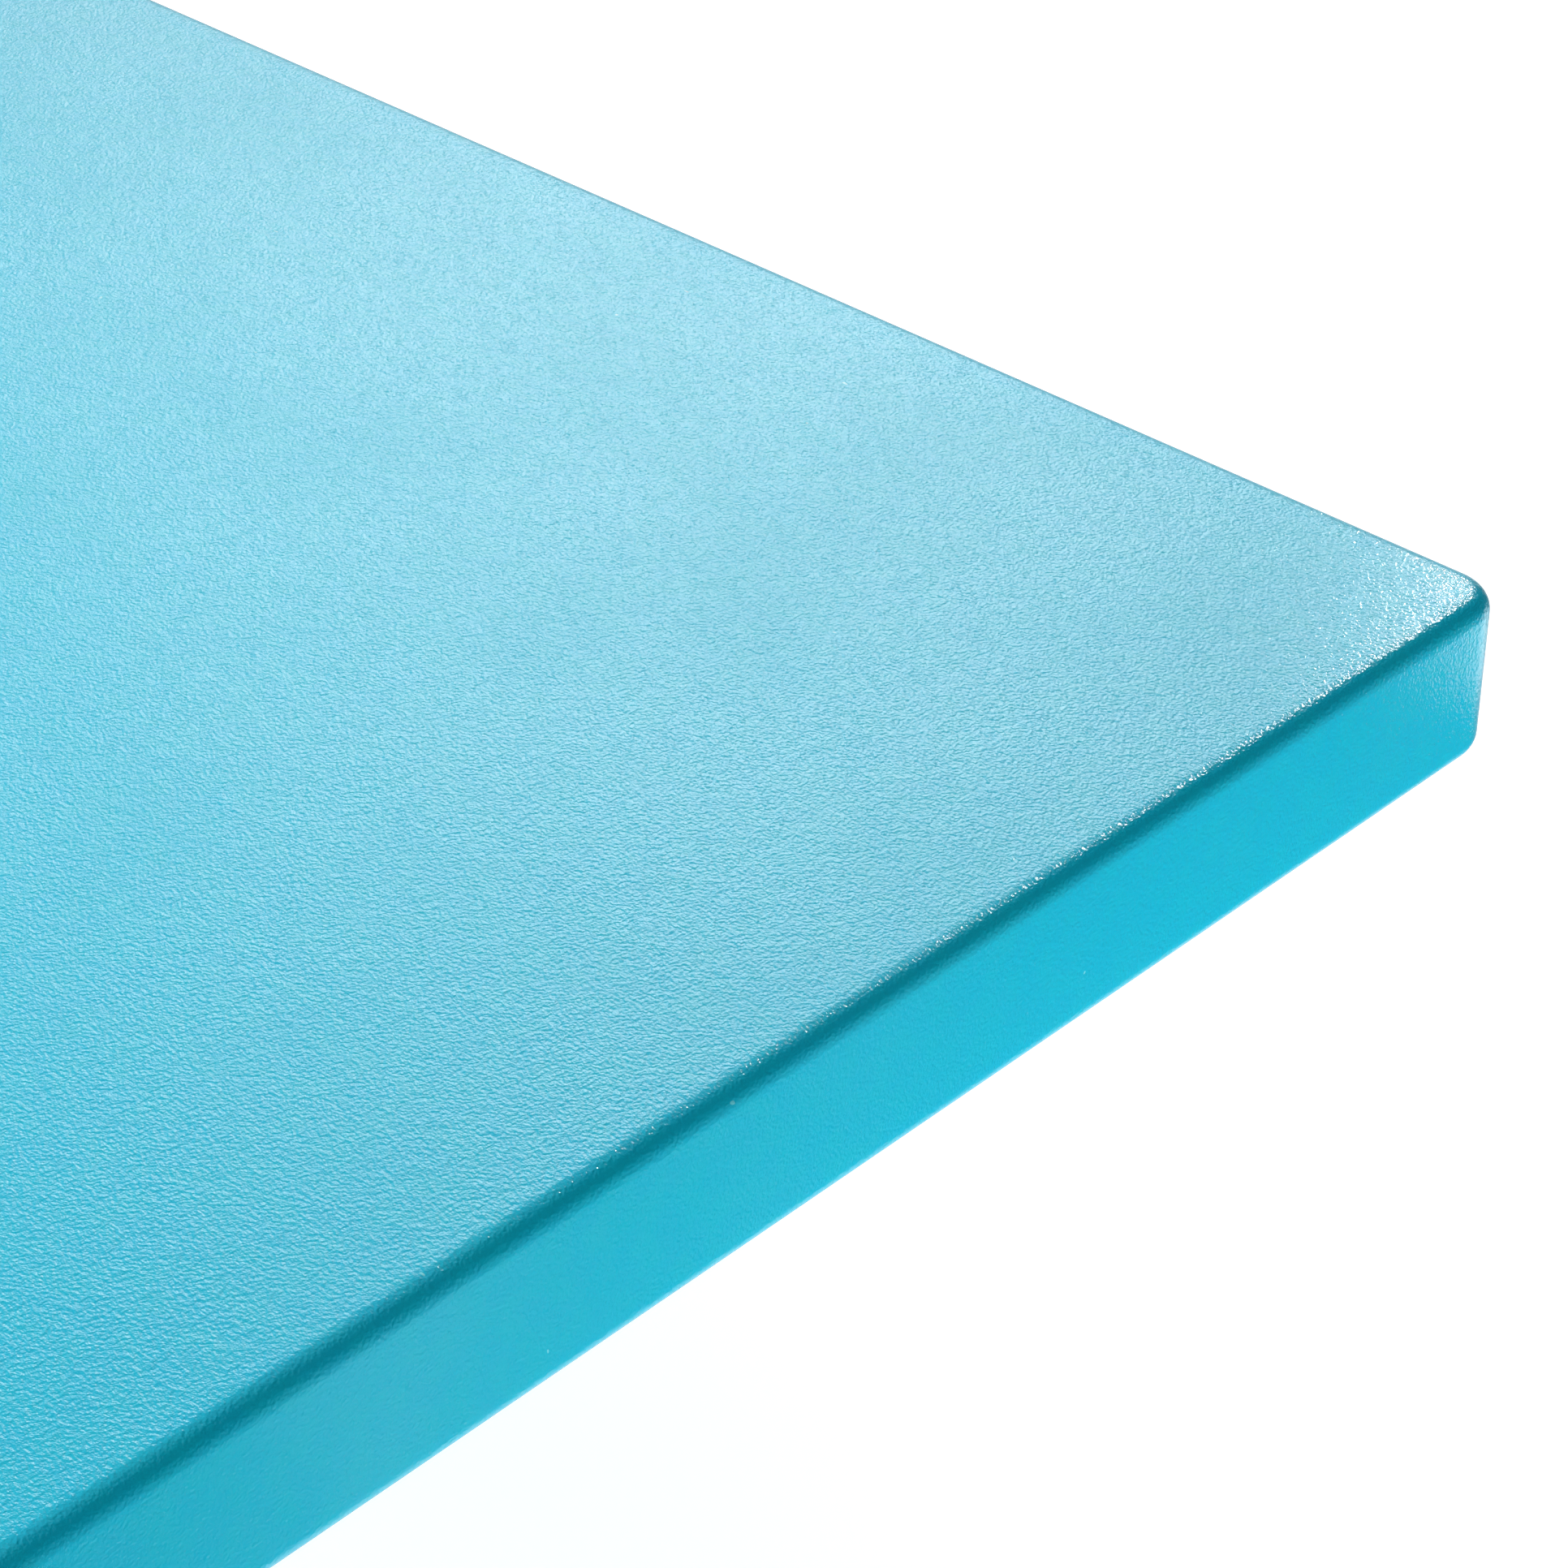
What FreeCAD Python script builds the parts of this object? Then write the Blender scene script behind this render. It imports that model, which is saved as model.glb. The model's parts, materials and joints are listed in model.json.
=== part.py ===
import FreeCAD, Part
import math
import os
import Sketcher

# Swimming-pool diving board on a sprung deck stand.
# Millimetres. The origin is the centre of the deck bolts, at deck level.
# +X points over the water, +Y to the diver's left, +Z up.
# The board and its rocker frame turn about the pivot shaft near the heel, on two coil springs.

SIZES = {
    # board
    "board_length": 2438,
    "board_width": 508,
    "board_thickness": 50,
    "board_top": 500,
    "corner_radius": 14,
    "top_lip_radius": 6,
    "bottom_lip_radius": 7,
    "skin_wall": 4,
    "skin_return": 34,
    "laminate_thickness": 2,
    "stringer_count": 7,
    # bolts that hold the board to the rocker
    "bolt_setback": 65,
    "bolt_radius": 6,
    "bolt_clearance": 0.5,
    "bolt_head_radius": 14,
    "bolt_head_height": 6,
    "bolt_tail": 4,
    "sleeve_radius": 10,
    "top_washer_radius": 20,
    "nut_washer_radius": 12,
    "washer_thickness": 2.5,
    "bolt_nut_flats": 19,
    "bolt_nut_height": 10.8,
    # rocker frame under the board
    "pivot_setback": 350,
    "heel_overhang": 130,
    "heel_plate_inset": 30,
    "heel_plate_length": 130,
    "fulcrum_reach": 430,
    "fulcrum_length": 80,
    "fulcrum_width": 420,
    "plate_thickness": 8,
    "edge_break": 1,
    "pad_thickness": 12,
    "arm_spread": 150,
    "arm_width": 40,
    "arm_height": 60,
    "arm_wall": 3,
    "arm_corner": 6,
    "arm_nose": 10,
    "cap_lip": 4,
    "cap_plug": 15,
    "cap_clearance": 0.5,
    "brace_size": 40,
    "brace_setback": 50,
    # pivot
    "shaft_radius": 12.5,
    "bush_clearance": 0.05,
    "bush_radius": 17,
    "bush_length": 40,
    "bush_flange_radius": 25,
    "bush_flange_thickness": 4,
    "hub_radius": 23,
    "hub_stand_out": 4,
    "thrust_clearance": 0.3,
    "shaft_washer_radius": 22,
    "shaft_washer_thickness": 3,
    "shaft_nut_flats": 36,
    "shaft_nut_height": 19,
    "shaft_tail": 4,
    # springs and their guides
    "spring_reach": 300,
    "spring_spread": 95,
    "spring_mean_radius": 39,
    "spring_wire_radius": 6,
    "spring_turns": 6,
    "seat_radius": 50,
    "seat_thickness": 6,
    "seat_boss_radius": 31,
    "seat_boss_height": 8,
    "lower_seat_bore": 22,
    "guide_radius": 8,
    "guide_clearance": 0.5,
    "guide_head_flats": 24,
    "guide_head_height": 10,
    "guide_tail": 6,
    "rebound_gap": 0.3,
    "rebound_pad_radius": 28,
    "rebound_pad_thickness": 10,
    "rebound_washer_thickness": 4,
    "rebound_nut_height": 13,
    "spring_plate_length": 140,
    "bump_base_radius": 30,
    "bump_top_radius": 22,
    "bump_gap": 1,
    "swing_limit": 4,
    # deck stand
    "leg_spread": 190,
    "rail_height": 190,
    "tube_radius": 24.15,
    "tube_wall": 2.9,
    "bend_radius": 80,
    "ear_to_bend": 5,
    "cross_tube_radius": 21.2,
    "cross_tube_wall": 2.6,
    "cross_tube_height": 62,
    "foot_length": 140,
    "foot_width": 160,
    "foot_thickness": 12,
    "foot_corner": 12,
    "gasket_thickness": 3,
    "anchor_spread": 55,
    "anchor_hole_radius": 7,
    "shelf_margin": 10,
    "shelf_bar_thickness": 8,
    "shelf_bar_height": 40,
    "shelf_bar_spread": 60,
    "slot_length": 44,
    "slot_width": 20,
    "slot_shift": 4,
    "ear_thickness": 12,
    "ear_base": 170,
    "ear_radius": 30,
}

# Places and heights that follow from the sizes.
HEEL = "(-sizes.pivot_setback - sizes.heel_overhang)"
PIVOT_X = "(-sizes.pivot_setback)"
LEG_REACH = "(sizes.pivot_setback + sizes.ear_base / 2 + sizes.ear_to_bend + sizes.bend_radius)"
BOARD_BOTTOM = "(sizes.board_top - sizes.board_thickness)"
CORE_BOTTOM = f"({BOARD_BOTTOM} + sizes.skin_wall + sizes.laminate_thickness)"
CORE_HEIGHT = "(sizes.board_thickness - 2 * sizes.skin_wall - 2 * sizes.laminate_thickness)"
CAVITY_LENGTH = "(sizes.board_length - 2 * sizes.skin_wall)"
CAVITY_WIDTH = "(sizes.board_width - 2 * sizes.skin_wall)"
CAVITY_CORNER = "(sizes.corner_radius - sizes.skin_wall)"
PANEL_LENGTH = "(sizes.board_length - 2 * sizes.skin_return)"
PANEL_WIDTH = "(sizes.board_width - 2 * sizes.skin_return)"
STRINGER_WIDTH = f"({CAVITY_WIDTH} / sizes.stringer_count)"
BOARD_CENTRE = f"({HEEL} + sizes.board_length / 2)"
BOLT_HOLE = "(sizes.bolt_radius + sizes.bolt_clearance)"
PLATE_BOTTOM = f"({BOARD_BOTTOM} - sizes.pad_thickness - sizes.plate_thickness)"
PIVOT_HEIGHT = f"({PLATE_BOTTOM} - sizes.arm_height / 2)"
ARM_BOTTOM = f"({PLATE_BOTTOM} - sizes.arm_height)"
ARM_START = f"({HEEL} + sizes.heel_plate_inset)"
ARM_END = "(sizes.fulcrum_reach + sizes.fulcrum_length / 2 + sizes.arm_nose)"
ARM_OUTER = "(sizes.arm_spread + sizes.arm_width / 2)"
HUB_END = f"({ARM_OUTER} + sizes.hub_stand_out)"
FLANGE_END = f"({HUB_END} + sizes.bush_flange_thickness)"
EAR_INNER = "(sizes.leg_spread - sizes.ear_thickness / 2)"
EAR_OUTER = "(sizes.leg_spread + sizes.ear_thickness / 2)"
SPRING_PLATE_BOTTOM = f"({ARM_BOTTOM} - sizes.plate_thickness)"
SHELF_BOTTOM = "(sizes.rail_height + sizes.tube_radius)"
SHELF_TOP = f"({SHELF_BOTTOM} + sizes.plate_thickness)"
SPRING_BOTTOM = f"({SHELF_TOP} + sizes.seat_thickness)"
SPRING_TOP = f"({SPRING_PLATE_BOTTOM} - sizes.seat_thickness)"
REBOUND_PAD_BOTTOM = f"({SHELF_BOTTOM} - sizes.rebound_gap - sizes.rebound_pad_thickness)"
REBOUND_WASHER_BOTTOM = f"({REBOUND_PAD_BOTTOM} - sizes.rebound_washer_thickness)"
FOOT_TOP = "(sizes.gasket_thickness + sizes.foot_thickness)"
# Lowest height that the spring plate reaches over the bump stop, at the end of the swing.
LOWEST_PLATE = (
    f"({PIVOT_HEIGHT}"
    " - (sizes.spring_reach + sizes.pivot_setback + sizes.bump_base_radius) * sin(sizes.swing_limit)"
    f" - ({PIVOT_HEIGHT} - {SPRING_PLATE_BOTTOM}) * cos(sizes.swing_limit))"
)

SIDES = {"left": "", "right": "-"}
BOARD_BOLTS = [
    (x, f"{sign}{STRINGER_WIDTH}")
    for x in (f"({HEEL} + sizes.bolt_setback)", "sizes.fulcrum_reach")
    for sign in SIDES.values()
]
SPRING_PLACES = [("sizes.spring_reach", f"{sign}sizes.spring_spread") for sign in SIDES.values()]
FEET = [
    (f"{end}{LEG_REACH}", f"{side}sizes.leg_spread")
    for end in SIDES.values()
    for side in SIDES.values()
]

QUARTER = math.pi / 2
Z_TO_Y = FreeCAD.Rotation(FreeCAD.Vector(1, 0, 0), -90)
Z_TO_MINUS_Y = FreeCAD.Rotation(FreeCAD.Vector(1, 0, 0), 90)
HALF_TURN = FreeCAD.Rotation(FreeCAD.Vector(0, 0, 1), 180)
UPSIDE_DOWN = FreeCAD.Rotation(FreeCAD.Vector(1, 0, 0), 180)

doc = FreeCAD.newDocument("diving_board")
sheet = doc.addObject("Spreadsheet::Sheet", "sizes")
nodes = []


# ---------------------------------------------------------------- helpers

def fill_sheet():
    for row, (alias, value) in enumerate(SIZES.items(), start=1):
        sheet.set(f"A{row}", alias)
        sheet.set(f"B{row}", str(value))
        sheet.setAlias(f"B{row}", alias)
    doc.recompute()


def number(text):
    """Value of an expression such as "sizes.board_length / 2"."""
    value = sheet.evalExpression(text)
    return float(getattr(value, "Value", value))


def place(item, x="0", y="0", z="0", rotation=None):
    if rotation:
        item.Placement = FreeCAD.Placement(FreeCAD.Vector(), rotation)
    for axis, text in (("x", x), ("y", y), ("z", z)):
        item.setExpression(f"Placement.Base.{axis}", text)
    return item


def node(item):
    """Marks an object as a sub-part of its own, exported under its Label."""
    nodes.append(item)
    return item


def new_body(name):
    body = doc.addObject("PartDesign::Body", name)
    body.Label = name
    return body


def new_sketch(body, role="XY_Plane", offset=None):
    sketch = body.newObject("Sketcher::SketchObject", f"{body.Name}_sketch")
    plane = next(item for item in body.Origin.OriginFeatures if item.Role == role)
    sketch.AttachmentSupport = [(plane, "")]
    sketch.MapMode = "FlatFace"
    if offset:
        sketch.setExpression("AttachmentOffset.Base.z", offset)
    return sketch


def bind_constraint(sketch, text, *terms):
    index = sketch.addConstraint(Sketcher.Constraint(*terms, number(text)))
    sketch.setExpression(f"Constraints[{index}]", text)


def hold_point(sketch, edge, end, x, y):
    """Ties one point of a sketch edge to its two coordinates."""
    for kind, text, axis in (("DistanceX", x, -2), ("DistanceY", y, -1)):
        if text == "0":
            sketch.addConstraint(Sketcher.Constraint("PointOnObject", edge, end, axis))
        else:
            bind_constraint(sketch, text, kind, -1, 1, edge, end)


def add_polygon(sketch, points):
    corners = [FreeCAD.Vector(number(x), number(y), 0) for x, y in points]
    edges = [
        sketch.addGeometry(Part.LineSegment(start, end))
        for start, end in zip(corners, corners[1:] + corners[:1])
    ]
    for edge, following, (x, y) in zip(edges, edges[1:] + edges[:1], points):
        sketch.addConstraint(Sketcher.Constraint("Coincident", edge, 2, following, 1))
        hold_point(sketch, edge, 1, x, y)


def add_rectangle(sketch, length, width, x="0", y="0"):
    add_polygon(sketch, [
        (f"{x} - {length} / 2", f"{y} - {width} / 2"),
        (f"{x} + {length} / 2", f"{y} - {width} / 2"),
        (f"{x} + {length} / 2", f"{y} + {width} / 2"),
        (f"{x} - {length} / 2", f"{y} + {width} / 2"),
    ])


def add_hexagon(sketch, flats):
    corner = f"{flats} / sqrt(3)"
    add_polygon(sketch, [
        (corner, "0"),
        (f"{corner} / 2", f"{flats} / 2"),
        (f"-{corner} / 2", f"{flats} / 2"),
        (f"-{corner}", "0"),
        (f"-{corner} / 2", f"-{flats} / 2"),
        (f"{corner} / 2", f"-{flats} / 2"),
    ])


def add_circle(sketch, radius, x="0", y="0"):
    centre = FreeCAD.Vector(number(x), number(y), 0)
    edge = sketch.addGeometry(Part.Circle(centre, FreeCAD.Vector(0, 0, 1), number(radius)))
    hold_point(sketch, edge, 3, x, y)
    bind_constraint(sketch, radius, "Radius", edge)


def add_rounded_rectangle(sketch, length, width, corner):
    """Centred rectangle with four corner arcs."""
    half_x = number(length) / 2
    half_y = number(width) / 2
    radius = number(corner)
    arcs = []
    for step, (sign_x, sign_y) in enumerate(((1, 1), (-1, 1), (-1, -1), (1, -1))):
        centre = FreeCAD.Vector(sign_x * (half_x - radius), sign_y * (half_y - radius), 0)
        circle = Part.Circle(centre, FreeCAD.Vector(0, 0, 1), radius)
        arc = sketch.addGeometry(Part.ArcOfCircle(circle, step * QUARTER, (step + 1) * QUARTER))
        text_x = f"({length} / 2 - {corner})"
        text_y = f"({width} / 2 - {corner})"
        hold_point(sketch, arc, 3, text_x if sign_x > 0 else f"-{text_x}",
                   text_y if sign_y > 0 else f"-{text_y}")
        arcs.append(arc)
    shape_arcs = [sketch.Geometry[arc] for arc in arcs]
    for index, arc in enumerate(arcs):
        following = (index + 1) % 4
        side = sketch.addGeometry(
            Part.LineSegment(shape_arcs[index].EndPoint, shape_arcs[following].StartPoint))
        sketch.addConstraint(Sketcher.Constraint("Tangent", arc, 2, side, 1))
        sketch.addConstraint(Sketcher.Constraint("Tangent", side, 2, arcs[following], 1))
    for arc in arcs[1:]:
        sketch.addConstraint(Sketcher.Constraint("Equal", arcs[0], arc))
    bind_constraint(sketch, corner, "Radius", arcs[0])


def add_slot(sketch, length, width, x, y):
    """Round-ended slot along the sketch's first axis."""
    reach = f"({length} - {width}) / 2"
    radius = f"{width} / 2"
    size = number(radius)
    ends = []
    for sign, start in (("+", -QUARTER), ("-", QUARTER)):
        centre_x = f"{x} {sign} {reach}"
        centre = FreeCAD.Vector(number(centre_x), number(y), 0)
        circle = Part.Circle(centre, FreeCAD.Vector(0, 0, 1), size)
        arc = sketch.addGeometry(Part.ArcOfCircle(circle, start, start + 2 * QUARTER))
        hold_point(sketch, arc, 3, centre_x, y)
        ends.append((arc, centre))
    (right, right_centre), (left, left_centre) = ends
    rise = FreeCAD.Vector(0, size, 0)
    upper = sketch.addGeometry(Part.LineSegment(right_centre + rise, left_centre + rise))
    lower = sketch.addGeometry(Part.LineSegment(left_centre - rise, right_centre - rise))
    for first, following in ((right, upper), (upper, left), (left, lower), (lower, right)):
        sketch.addConstraint(Sketcher.Constraint("Tangent", first, 2, following, 1))
    sketch.addConstraint(Sketcher.Constraint("Equal", right, left))
    bind_constraint(sketch, radius, "Radius", right)


def extrude(body, sketch, length, symmetric=False, reverse=False):
    feature = body.newObject("PartDesign::Pad", f"{body.Name}_pad")
    feature.Profile = sketch
    feature.setExpression("Length", length)
    if symmetric:
        feature.SideType = "Symmetric"
    feature.Reversed = reverse
    doc.recompute()


def turn(body, sketch):
    """Full revolution about the sketch's vertical axis."""
    feature = body.newObject("PartDesign::Revolution", f"{body.Name}_turned")
    feature.Profile = sketch
    feature.ReferenceAxis = (sketch, ["V_Axis"])
    feature.Angle = 360
    doc.recompute()


def check_cut(body, before):
    if body.Shape.Volume >= before:
        raise RuntimeError(f"a cut in {body.Name} removes nothing")


def cut_through(body, sketch):
    before = body.Shape.Volume
    feature = body.newObject("PartDesign::Pocket", f"{body.Name}_through")
    feature.Profile = sketch
    feature.Type = "ThroughAll"
    feature.SideType = "Symmetric"
    doc.recompute()
    check_cut(body, before)


def cut_up(body, sketch, depth):
    """Pocket that rises from an XY sketch."""
    before = body.Shape.Volume
    feature = body.newObject("PartDesign::Pocket", f"{body.Name}_pocket")
    feature.Profile = sketch
    feature.setExpression("Length", depth)
    feature.Reversed = True
    doc.recompute()
    check_cut(body, before)


def cut_round(body, sketch):
    """Groove all round the sketch's vertical axis."""
    before = body.Shape.Volume
    feature = body.newObject("PartDesign::Groove", f"{body.Name}_groove")
    feature.Profile = sketch
    feature.ReferenceAxis = (sketch, ["V_Axis"])
    feature.Angle = 360
    doc.recompute()
    check_cut(body, before)


def round_edges(body, radius, wanted):
    """Fillets the edges of the body's last feature for which wanted(edge) is true."""
    base = body.Tip
    names = [f"Edge{index}" for index, edge in enumerate(base.Shape.Edges, start=1) if wanted(edge)]
    feature = body.newObject("PartDesign::Fillet", f"{body.Name}_fillet")
    feature.Base = (base, names)
    feature.setExpression("Radius", radius)
    doc.recompute()


def upright(edge):
    return abs(edge.tangentAt(edge.FirstParameter).z) > 0.99 and edge.Length > 1e-3


def at_height(height):
    level = number(height)
    return lambda edge: all(abs(vertex.Z - level) < 1e-6 for vertex in edge.Vertexes)


def break_edges(body, thickness):
    """Rounds off the sharp edges of both faces of a flat plate."""
    lower = at_height("0")
    upper = at_height(thickness)
    round_edges(body, "sizes.edge_break", lambda edge: lower(edge) or upper(edge))


def group(name, source, places, rotations=None):
    """One node of several copies of a body, each at its own place."""
    copies = []
    for index, (x, y, z) in enumerate(places):
        copy = doc.addObject("App::Link", f"{name}_{index + 1}")
        copy.LinkedObject = source
        place(copy, x, y, z, rotations[index] if rotations else None)
        copies.append(copy)
    compound = doc.addObject("Part::Compound", name)
    compound.Label = name
    compound.Links = copies
    return node(compound)


# ---------------------------------------------------------------- shapes that repeat

def plate(name, length, width, thickness, corner=None, holes=(), soft_edges=True):
    """Flat rectangular plate on z = 0, centred on its axis, with round holes."""
    body = new_body(name)
    outline = new_sketch(body)
    add_rectangle(outline, length, width)
    extrude(body, outline, thickness)
    if corner:
        round_edges(body, corner, upright)
    if soft_edges:
        break_edges(body, thickness)
    if holes:
        drilling = new_sketch(body)
        for x, y, radius in holes:
            add_circle(drilling, radius, x, y)
        cut_through(body, drilling)
    return body


def ring(name, inner, outer, height):
    """Tube, sleeve or washer standing on z = 0."""
    body = new_body(name)
    section = new_sketch(body)
    add_circle(section, outer)
    add_circle(section, inner)
    extrude(body, section, height)
    return body


def bevel_corners(body, flats, face, slope):
    """Turned bevel on one end of a hexagon; slope is + where the metal is above the face."""
    reach = f"({flats} / sqrt(3) + 1)"
    cutter = new_sketch(body, "XZ_Plane")
    add_polygon(cutter, [
        (f"{flats} / 2", face),
        (reach, face),
        (reach, f"{face} {slope} ({reach} - {flats} / 2) * tan(30)"),
    ])
    cut_round(body, cutter)


def hex_nut(name, flats, bore, height):
    body = new_body(name)
    section = new_sketch(body)
    add_hexagon(section, flats)
    add_circle(section, bore)
    extrude(body, section, height)
    bevel_corners(body, flats, "0", "+")
    bevel_corners(body, flats, height, "-")
    return body


def turned(name, profile):
    """Solid of revolution about Z from (radius, height) corners."""
    body = new_body(name)
    half = new_sketch(body, "XZ_Plane")
    add_polygon(half, profile)
    turn(body, half)
    return body


# ---------------------------------------------------------------- board

def board_holes(radius):
    return [(f"{x} - {BOARD_CENTRE}", y, radius) for x, y in BOARD_BOLTS]


def make_board_skin():
    """Moulded shell: top, sides and a lip returned under the edge."""
    body = new_body("board_skin")
    outline = new_sketch(body)
    add_rectangle(outline, "sizes.board_length", "sizes.board_width")
    extrude(body, outline, "sizes.board_thickness")
    round_edges(body, "sizes.corner_radius", upright)
    round_edges(body, "sizes.top_lip_radius", at_height("sizes.board_thickness"))
    round_edges(body, "sizes.bottom_lip_radius", at_height("0"))
    cavity = new_sketch(body, offset="sizes.skin_wall")
    add_rounded_rectangle(cavity, CAVITY_LENGTH, CAVITY_WIDTH, CAVITY_CORNER)
    cut_up(body, cavity, "sizes.board_thickness - 2 * sizes.skin_wall")
    opening = new_sketch(body)
    add_rectangle(opening, PANEL_LENGTH, PANEL_WIDTH)
    cut_up(body, opening, "sizes.skin_wall")
    drilling = new_sketch(body)
    for x, y, radius in board_holes(BOLT_HOLE):
        add_circle(drilling, radius, x, y)
    cut_through(body, drilling)
    return node(place(body, BOARD_CENTRE, "0", BOARD_BOTTOM))


def make_underside_panel():
    """Flush panel that closes the opening under the board."""
    body = plate("underside_panel", PANEL_LENGTH, PANEL_WIDTH, "sizes.skin_wall",
                 holes=board_holes(BOLT_HOLE), soft_edges=False)
    return node(place(body, BOARD_CENTRE, "0", BOARD_BOTTOM))


def make_laminates():
    """Glass-fibre sheets bonded over and under the wooden core."""
    for name, z in (
        ("bottom_laminate", f"{BOARD_BOTTOM} + sizes.skin_wall"),
        ("top_laminate", f"{CORE_BOTTOM} + {CORE_HEIGHT}"),
    ):
        body = plate(name, CAVITY_LENGTH, CAVITY_WIDTH, "sizes.laminate_thickness",
                     corner=CAVITY_CORNER, holes=board_holes("sizes.sleeve_radius"),
                     soft_edges=False)
        node(place(body, BOARD_CENTRE, "0", z))


def make_core_stringers():
    """Wooden lengths glued side by side; the outer two follow the board's rounded corners."""
    count = int(number("sizes.stringer_count"))
    for index in range(count):
        lane = f"({index} - (sizes.stringer_count - 1) / 2)"
        centre = f"({lane} * {STRINGER_WIDTH})"
        middle = number(centre)
        body = new_body(f"core_stringer_{index + 1}")
        outline = new_sketch(body)
        add_rectangle(outline, CAVITY_LENGTH, STRINGER_WIDTH)
        extrude(body, outline, CORE_HEIGHT)
        if index in (0, count - 1):
            outer = number(STRINGER_WIDTH) / 2 * (1 if index else -1)
            round_edges(body, CAVITY_CORNER,
                        lambda edge: upright(edge) and abs(edge.Vertexes[0].Y - outer) < 1e-6)
        holes = [hole for hole in board_holes("sizes.sleeve_radius")
                 if abs(number(hole[1]) - middle) < number(STRINGER_WIDTH) / 2]
        if holes:
            drilling = new_sketch(body)
            for x, y, radius in holes:
                add_circle(drilling, radius, x, f"{y} - {centre}")
            cut_through(body, drilling)
        node(place(body, BOARD_CENTRE, centre, CORE_BOTTOM))


def make_board_bolts():
    """Bolts through the sleeves, with a washer on the board and a washer and nut under the frame."""
    sleeve_bottom = f"{BOARD_BOTTOM} + sizes.skin_wall"
    nut_top = f"{PLATE_BOTTOM} - sizes.washer_thickness"
    head_bottom = "(sizes.board_top + sizes.washer_thickness)"
    tail = f"({head_bottom} - ({nut_top}) + sizes.bolt_nut_height + sizes.bolt_tail)"
    sleeve = ring("bolt_sleeve", BOLT_HOLE, "sizes.sleeve_radius",
                  "sizes.board_thickness - 2 * sizes.skin_wall")
    group("bolt_sleeves", sleeve, [(x, y, sleeve_bottom) for x, y in BOARD_BOLTS])
    washer = ring("top_washer", BOLT_HOLE, "sizes.top_washer_radius", "sizes.washer_thickness")
    group("bolt_top_washers", washer, [(x, y, "sizes.board_top") for x, y in BOARD_BOLTS])
    bolt = turned("board_bolt", [
        ("0", f"-{tail}"),
        ("sizes.bolt_radius", f"-{tail}"),
        ("sizes.bolt_radius", "0"),
        ("sizes.bolt_head_radius", "0"),
        ("sizes.bolt_head_radius", "sizes.bolt_head_height / 4"),
        ("sizes.bolt_head_radius / 2", "sizes.bolt_head_height"),
        ("0", "sizes.bolt_head_height"),
    ])
    group("board_bolts", bolt, [(x, y, head_bottom) for x, y in BOARD_BOLTS])
    nut_washer = ring("nut_washer", BOLT_HOLE, "sizes.nut_washer_radius", "sizes.washer_thickness")
    group("bolt_nut_washers", nut_washer, [(x, y, nut_top) for x, y in BOARD_BOLTS])
    nut = hex_nut("board_nut", "sizes.bolt_nut_flats", "sizes.bolt_radius", "sizes.bolt_nut_height")
    group("board_nuts", nut, [(x, y, f"{nut_top} - sizes.bolt_nut_height") for x, y in BOARD_BOLTS])


# ---------------------------------------------------------------- rocker frame

def make_rocker_arm(side, sign):
    """Rectangular tube, drilled for the hub."""
    body = new_body(f"rocker_arm_{side}")
    section = new_sketch(body, "YZ_Plane")
    add_rectangle(section, "sizes.arm_width", "sizes.arm_height")
    extrude(body, section, f"{ARM_END} - {ARM_START}")
    round_edges(body, "sizes.arm_corner", lambda edge: edge.BoundBox.XLength > 1)
    hollow = new_sketch(body, "YZ_Plane")
    inner_width = "(sizes.arm_width - 2 * sizes.arm_wall)"
    inner_height = "(sizes.arm_height - 2 * sizes.arm_wall)"
    add_rounded_rectangle(hollow, inner_width, inner_height, "(sizes.arm_corner - sizes.arm_wall)")
    cut_through(body, hollow)
    drilling = new_sketch(body, "XZ_Plane")
    add_circle(drilling, "sizes.hub_radius", f"{PIVOT_X} - {ARM_START}", "0")
    cut_through(body, drilling)
    return node(place(body, ARM_START, f"{sign}sizes.arm_spread", PIVOT_HEIGHT))


def make_arm_caps():
    """Plastic plug and lip in each open end of the arms."""
    body = new_body("arm_cap")
    lip = new_sketch(body, "YZ_Plane")
    add_rounded_rectangle(lip, "sizes.arm_width", "sizes.arm_height", "sizes.arm_corner")
    extrude(body, lip, "sizes.cap_lip")
    plug = new_sketch(body, "YZ_Plane")
    shrink = "2 * (sizes.arm_wall + sizes.cap_clearance)"
    add_rounded_rectangle(plug, f"(sizes.arm_width - {shrink})", f"(sizes.arm_height - {shrink})",
                          "(sizes.arm_corner - sizes.arm_wall)")
    extrude(body, plug, "sizes.cap_plug", reverse=True)
    places = []
    rotations = []
    for x, rotation in ((ARM_END, FreeCAD.Rotation()), (ARM_START, HALF_TURN)):
        for sign in SIDES.values():
            places.append((x, f"{sign}sizes.arm_spread", PIVOT_HEIGHT))
            rotations.append(rotation)
    group("arm_end_caps", body, places, rotations)


def make_hub_tube():
    body = ring("hub_tube", "sizes.bush_radius", "sizes.hub_radius", f"2 * {HUB_END}")
    return node(place(body, PIVOT_X, f"-{HUB_END}", PIVOT_HEIGHT, Z_TO_Y))


def make_rocker_brace():
    """Square tube between the arms."""
    body = new_body("rocker_brace")
    section = new_sketch(body, "XZ_Plane")
    add_rectangle(section, "sizes.brace_size", "sizes.brace_size")
    inner = "(sizes.brace_size - 2 * sizes.arm_wall)"
    add_rectangle(section, inner, inner)
    extrude(body, section, "2 * sizes.arm_spread - sizes.arm_width", symmetric=True)
    return node(place(body, "-sizes.brace_setback", "0", PIVOT_HEIGHT))


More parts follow.
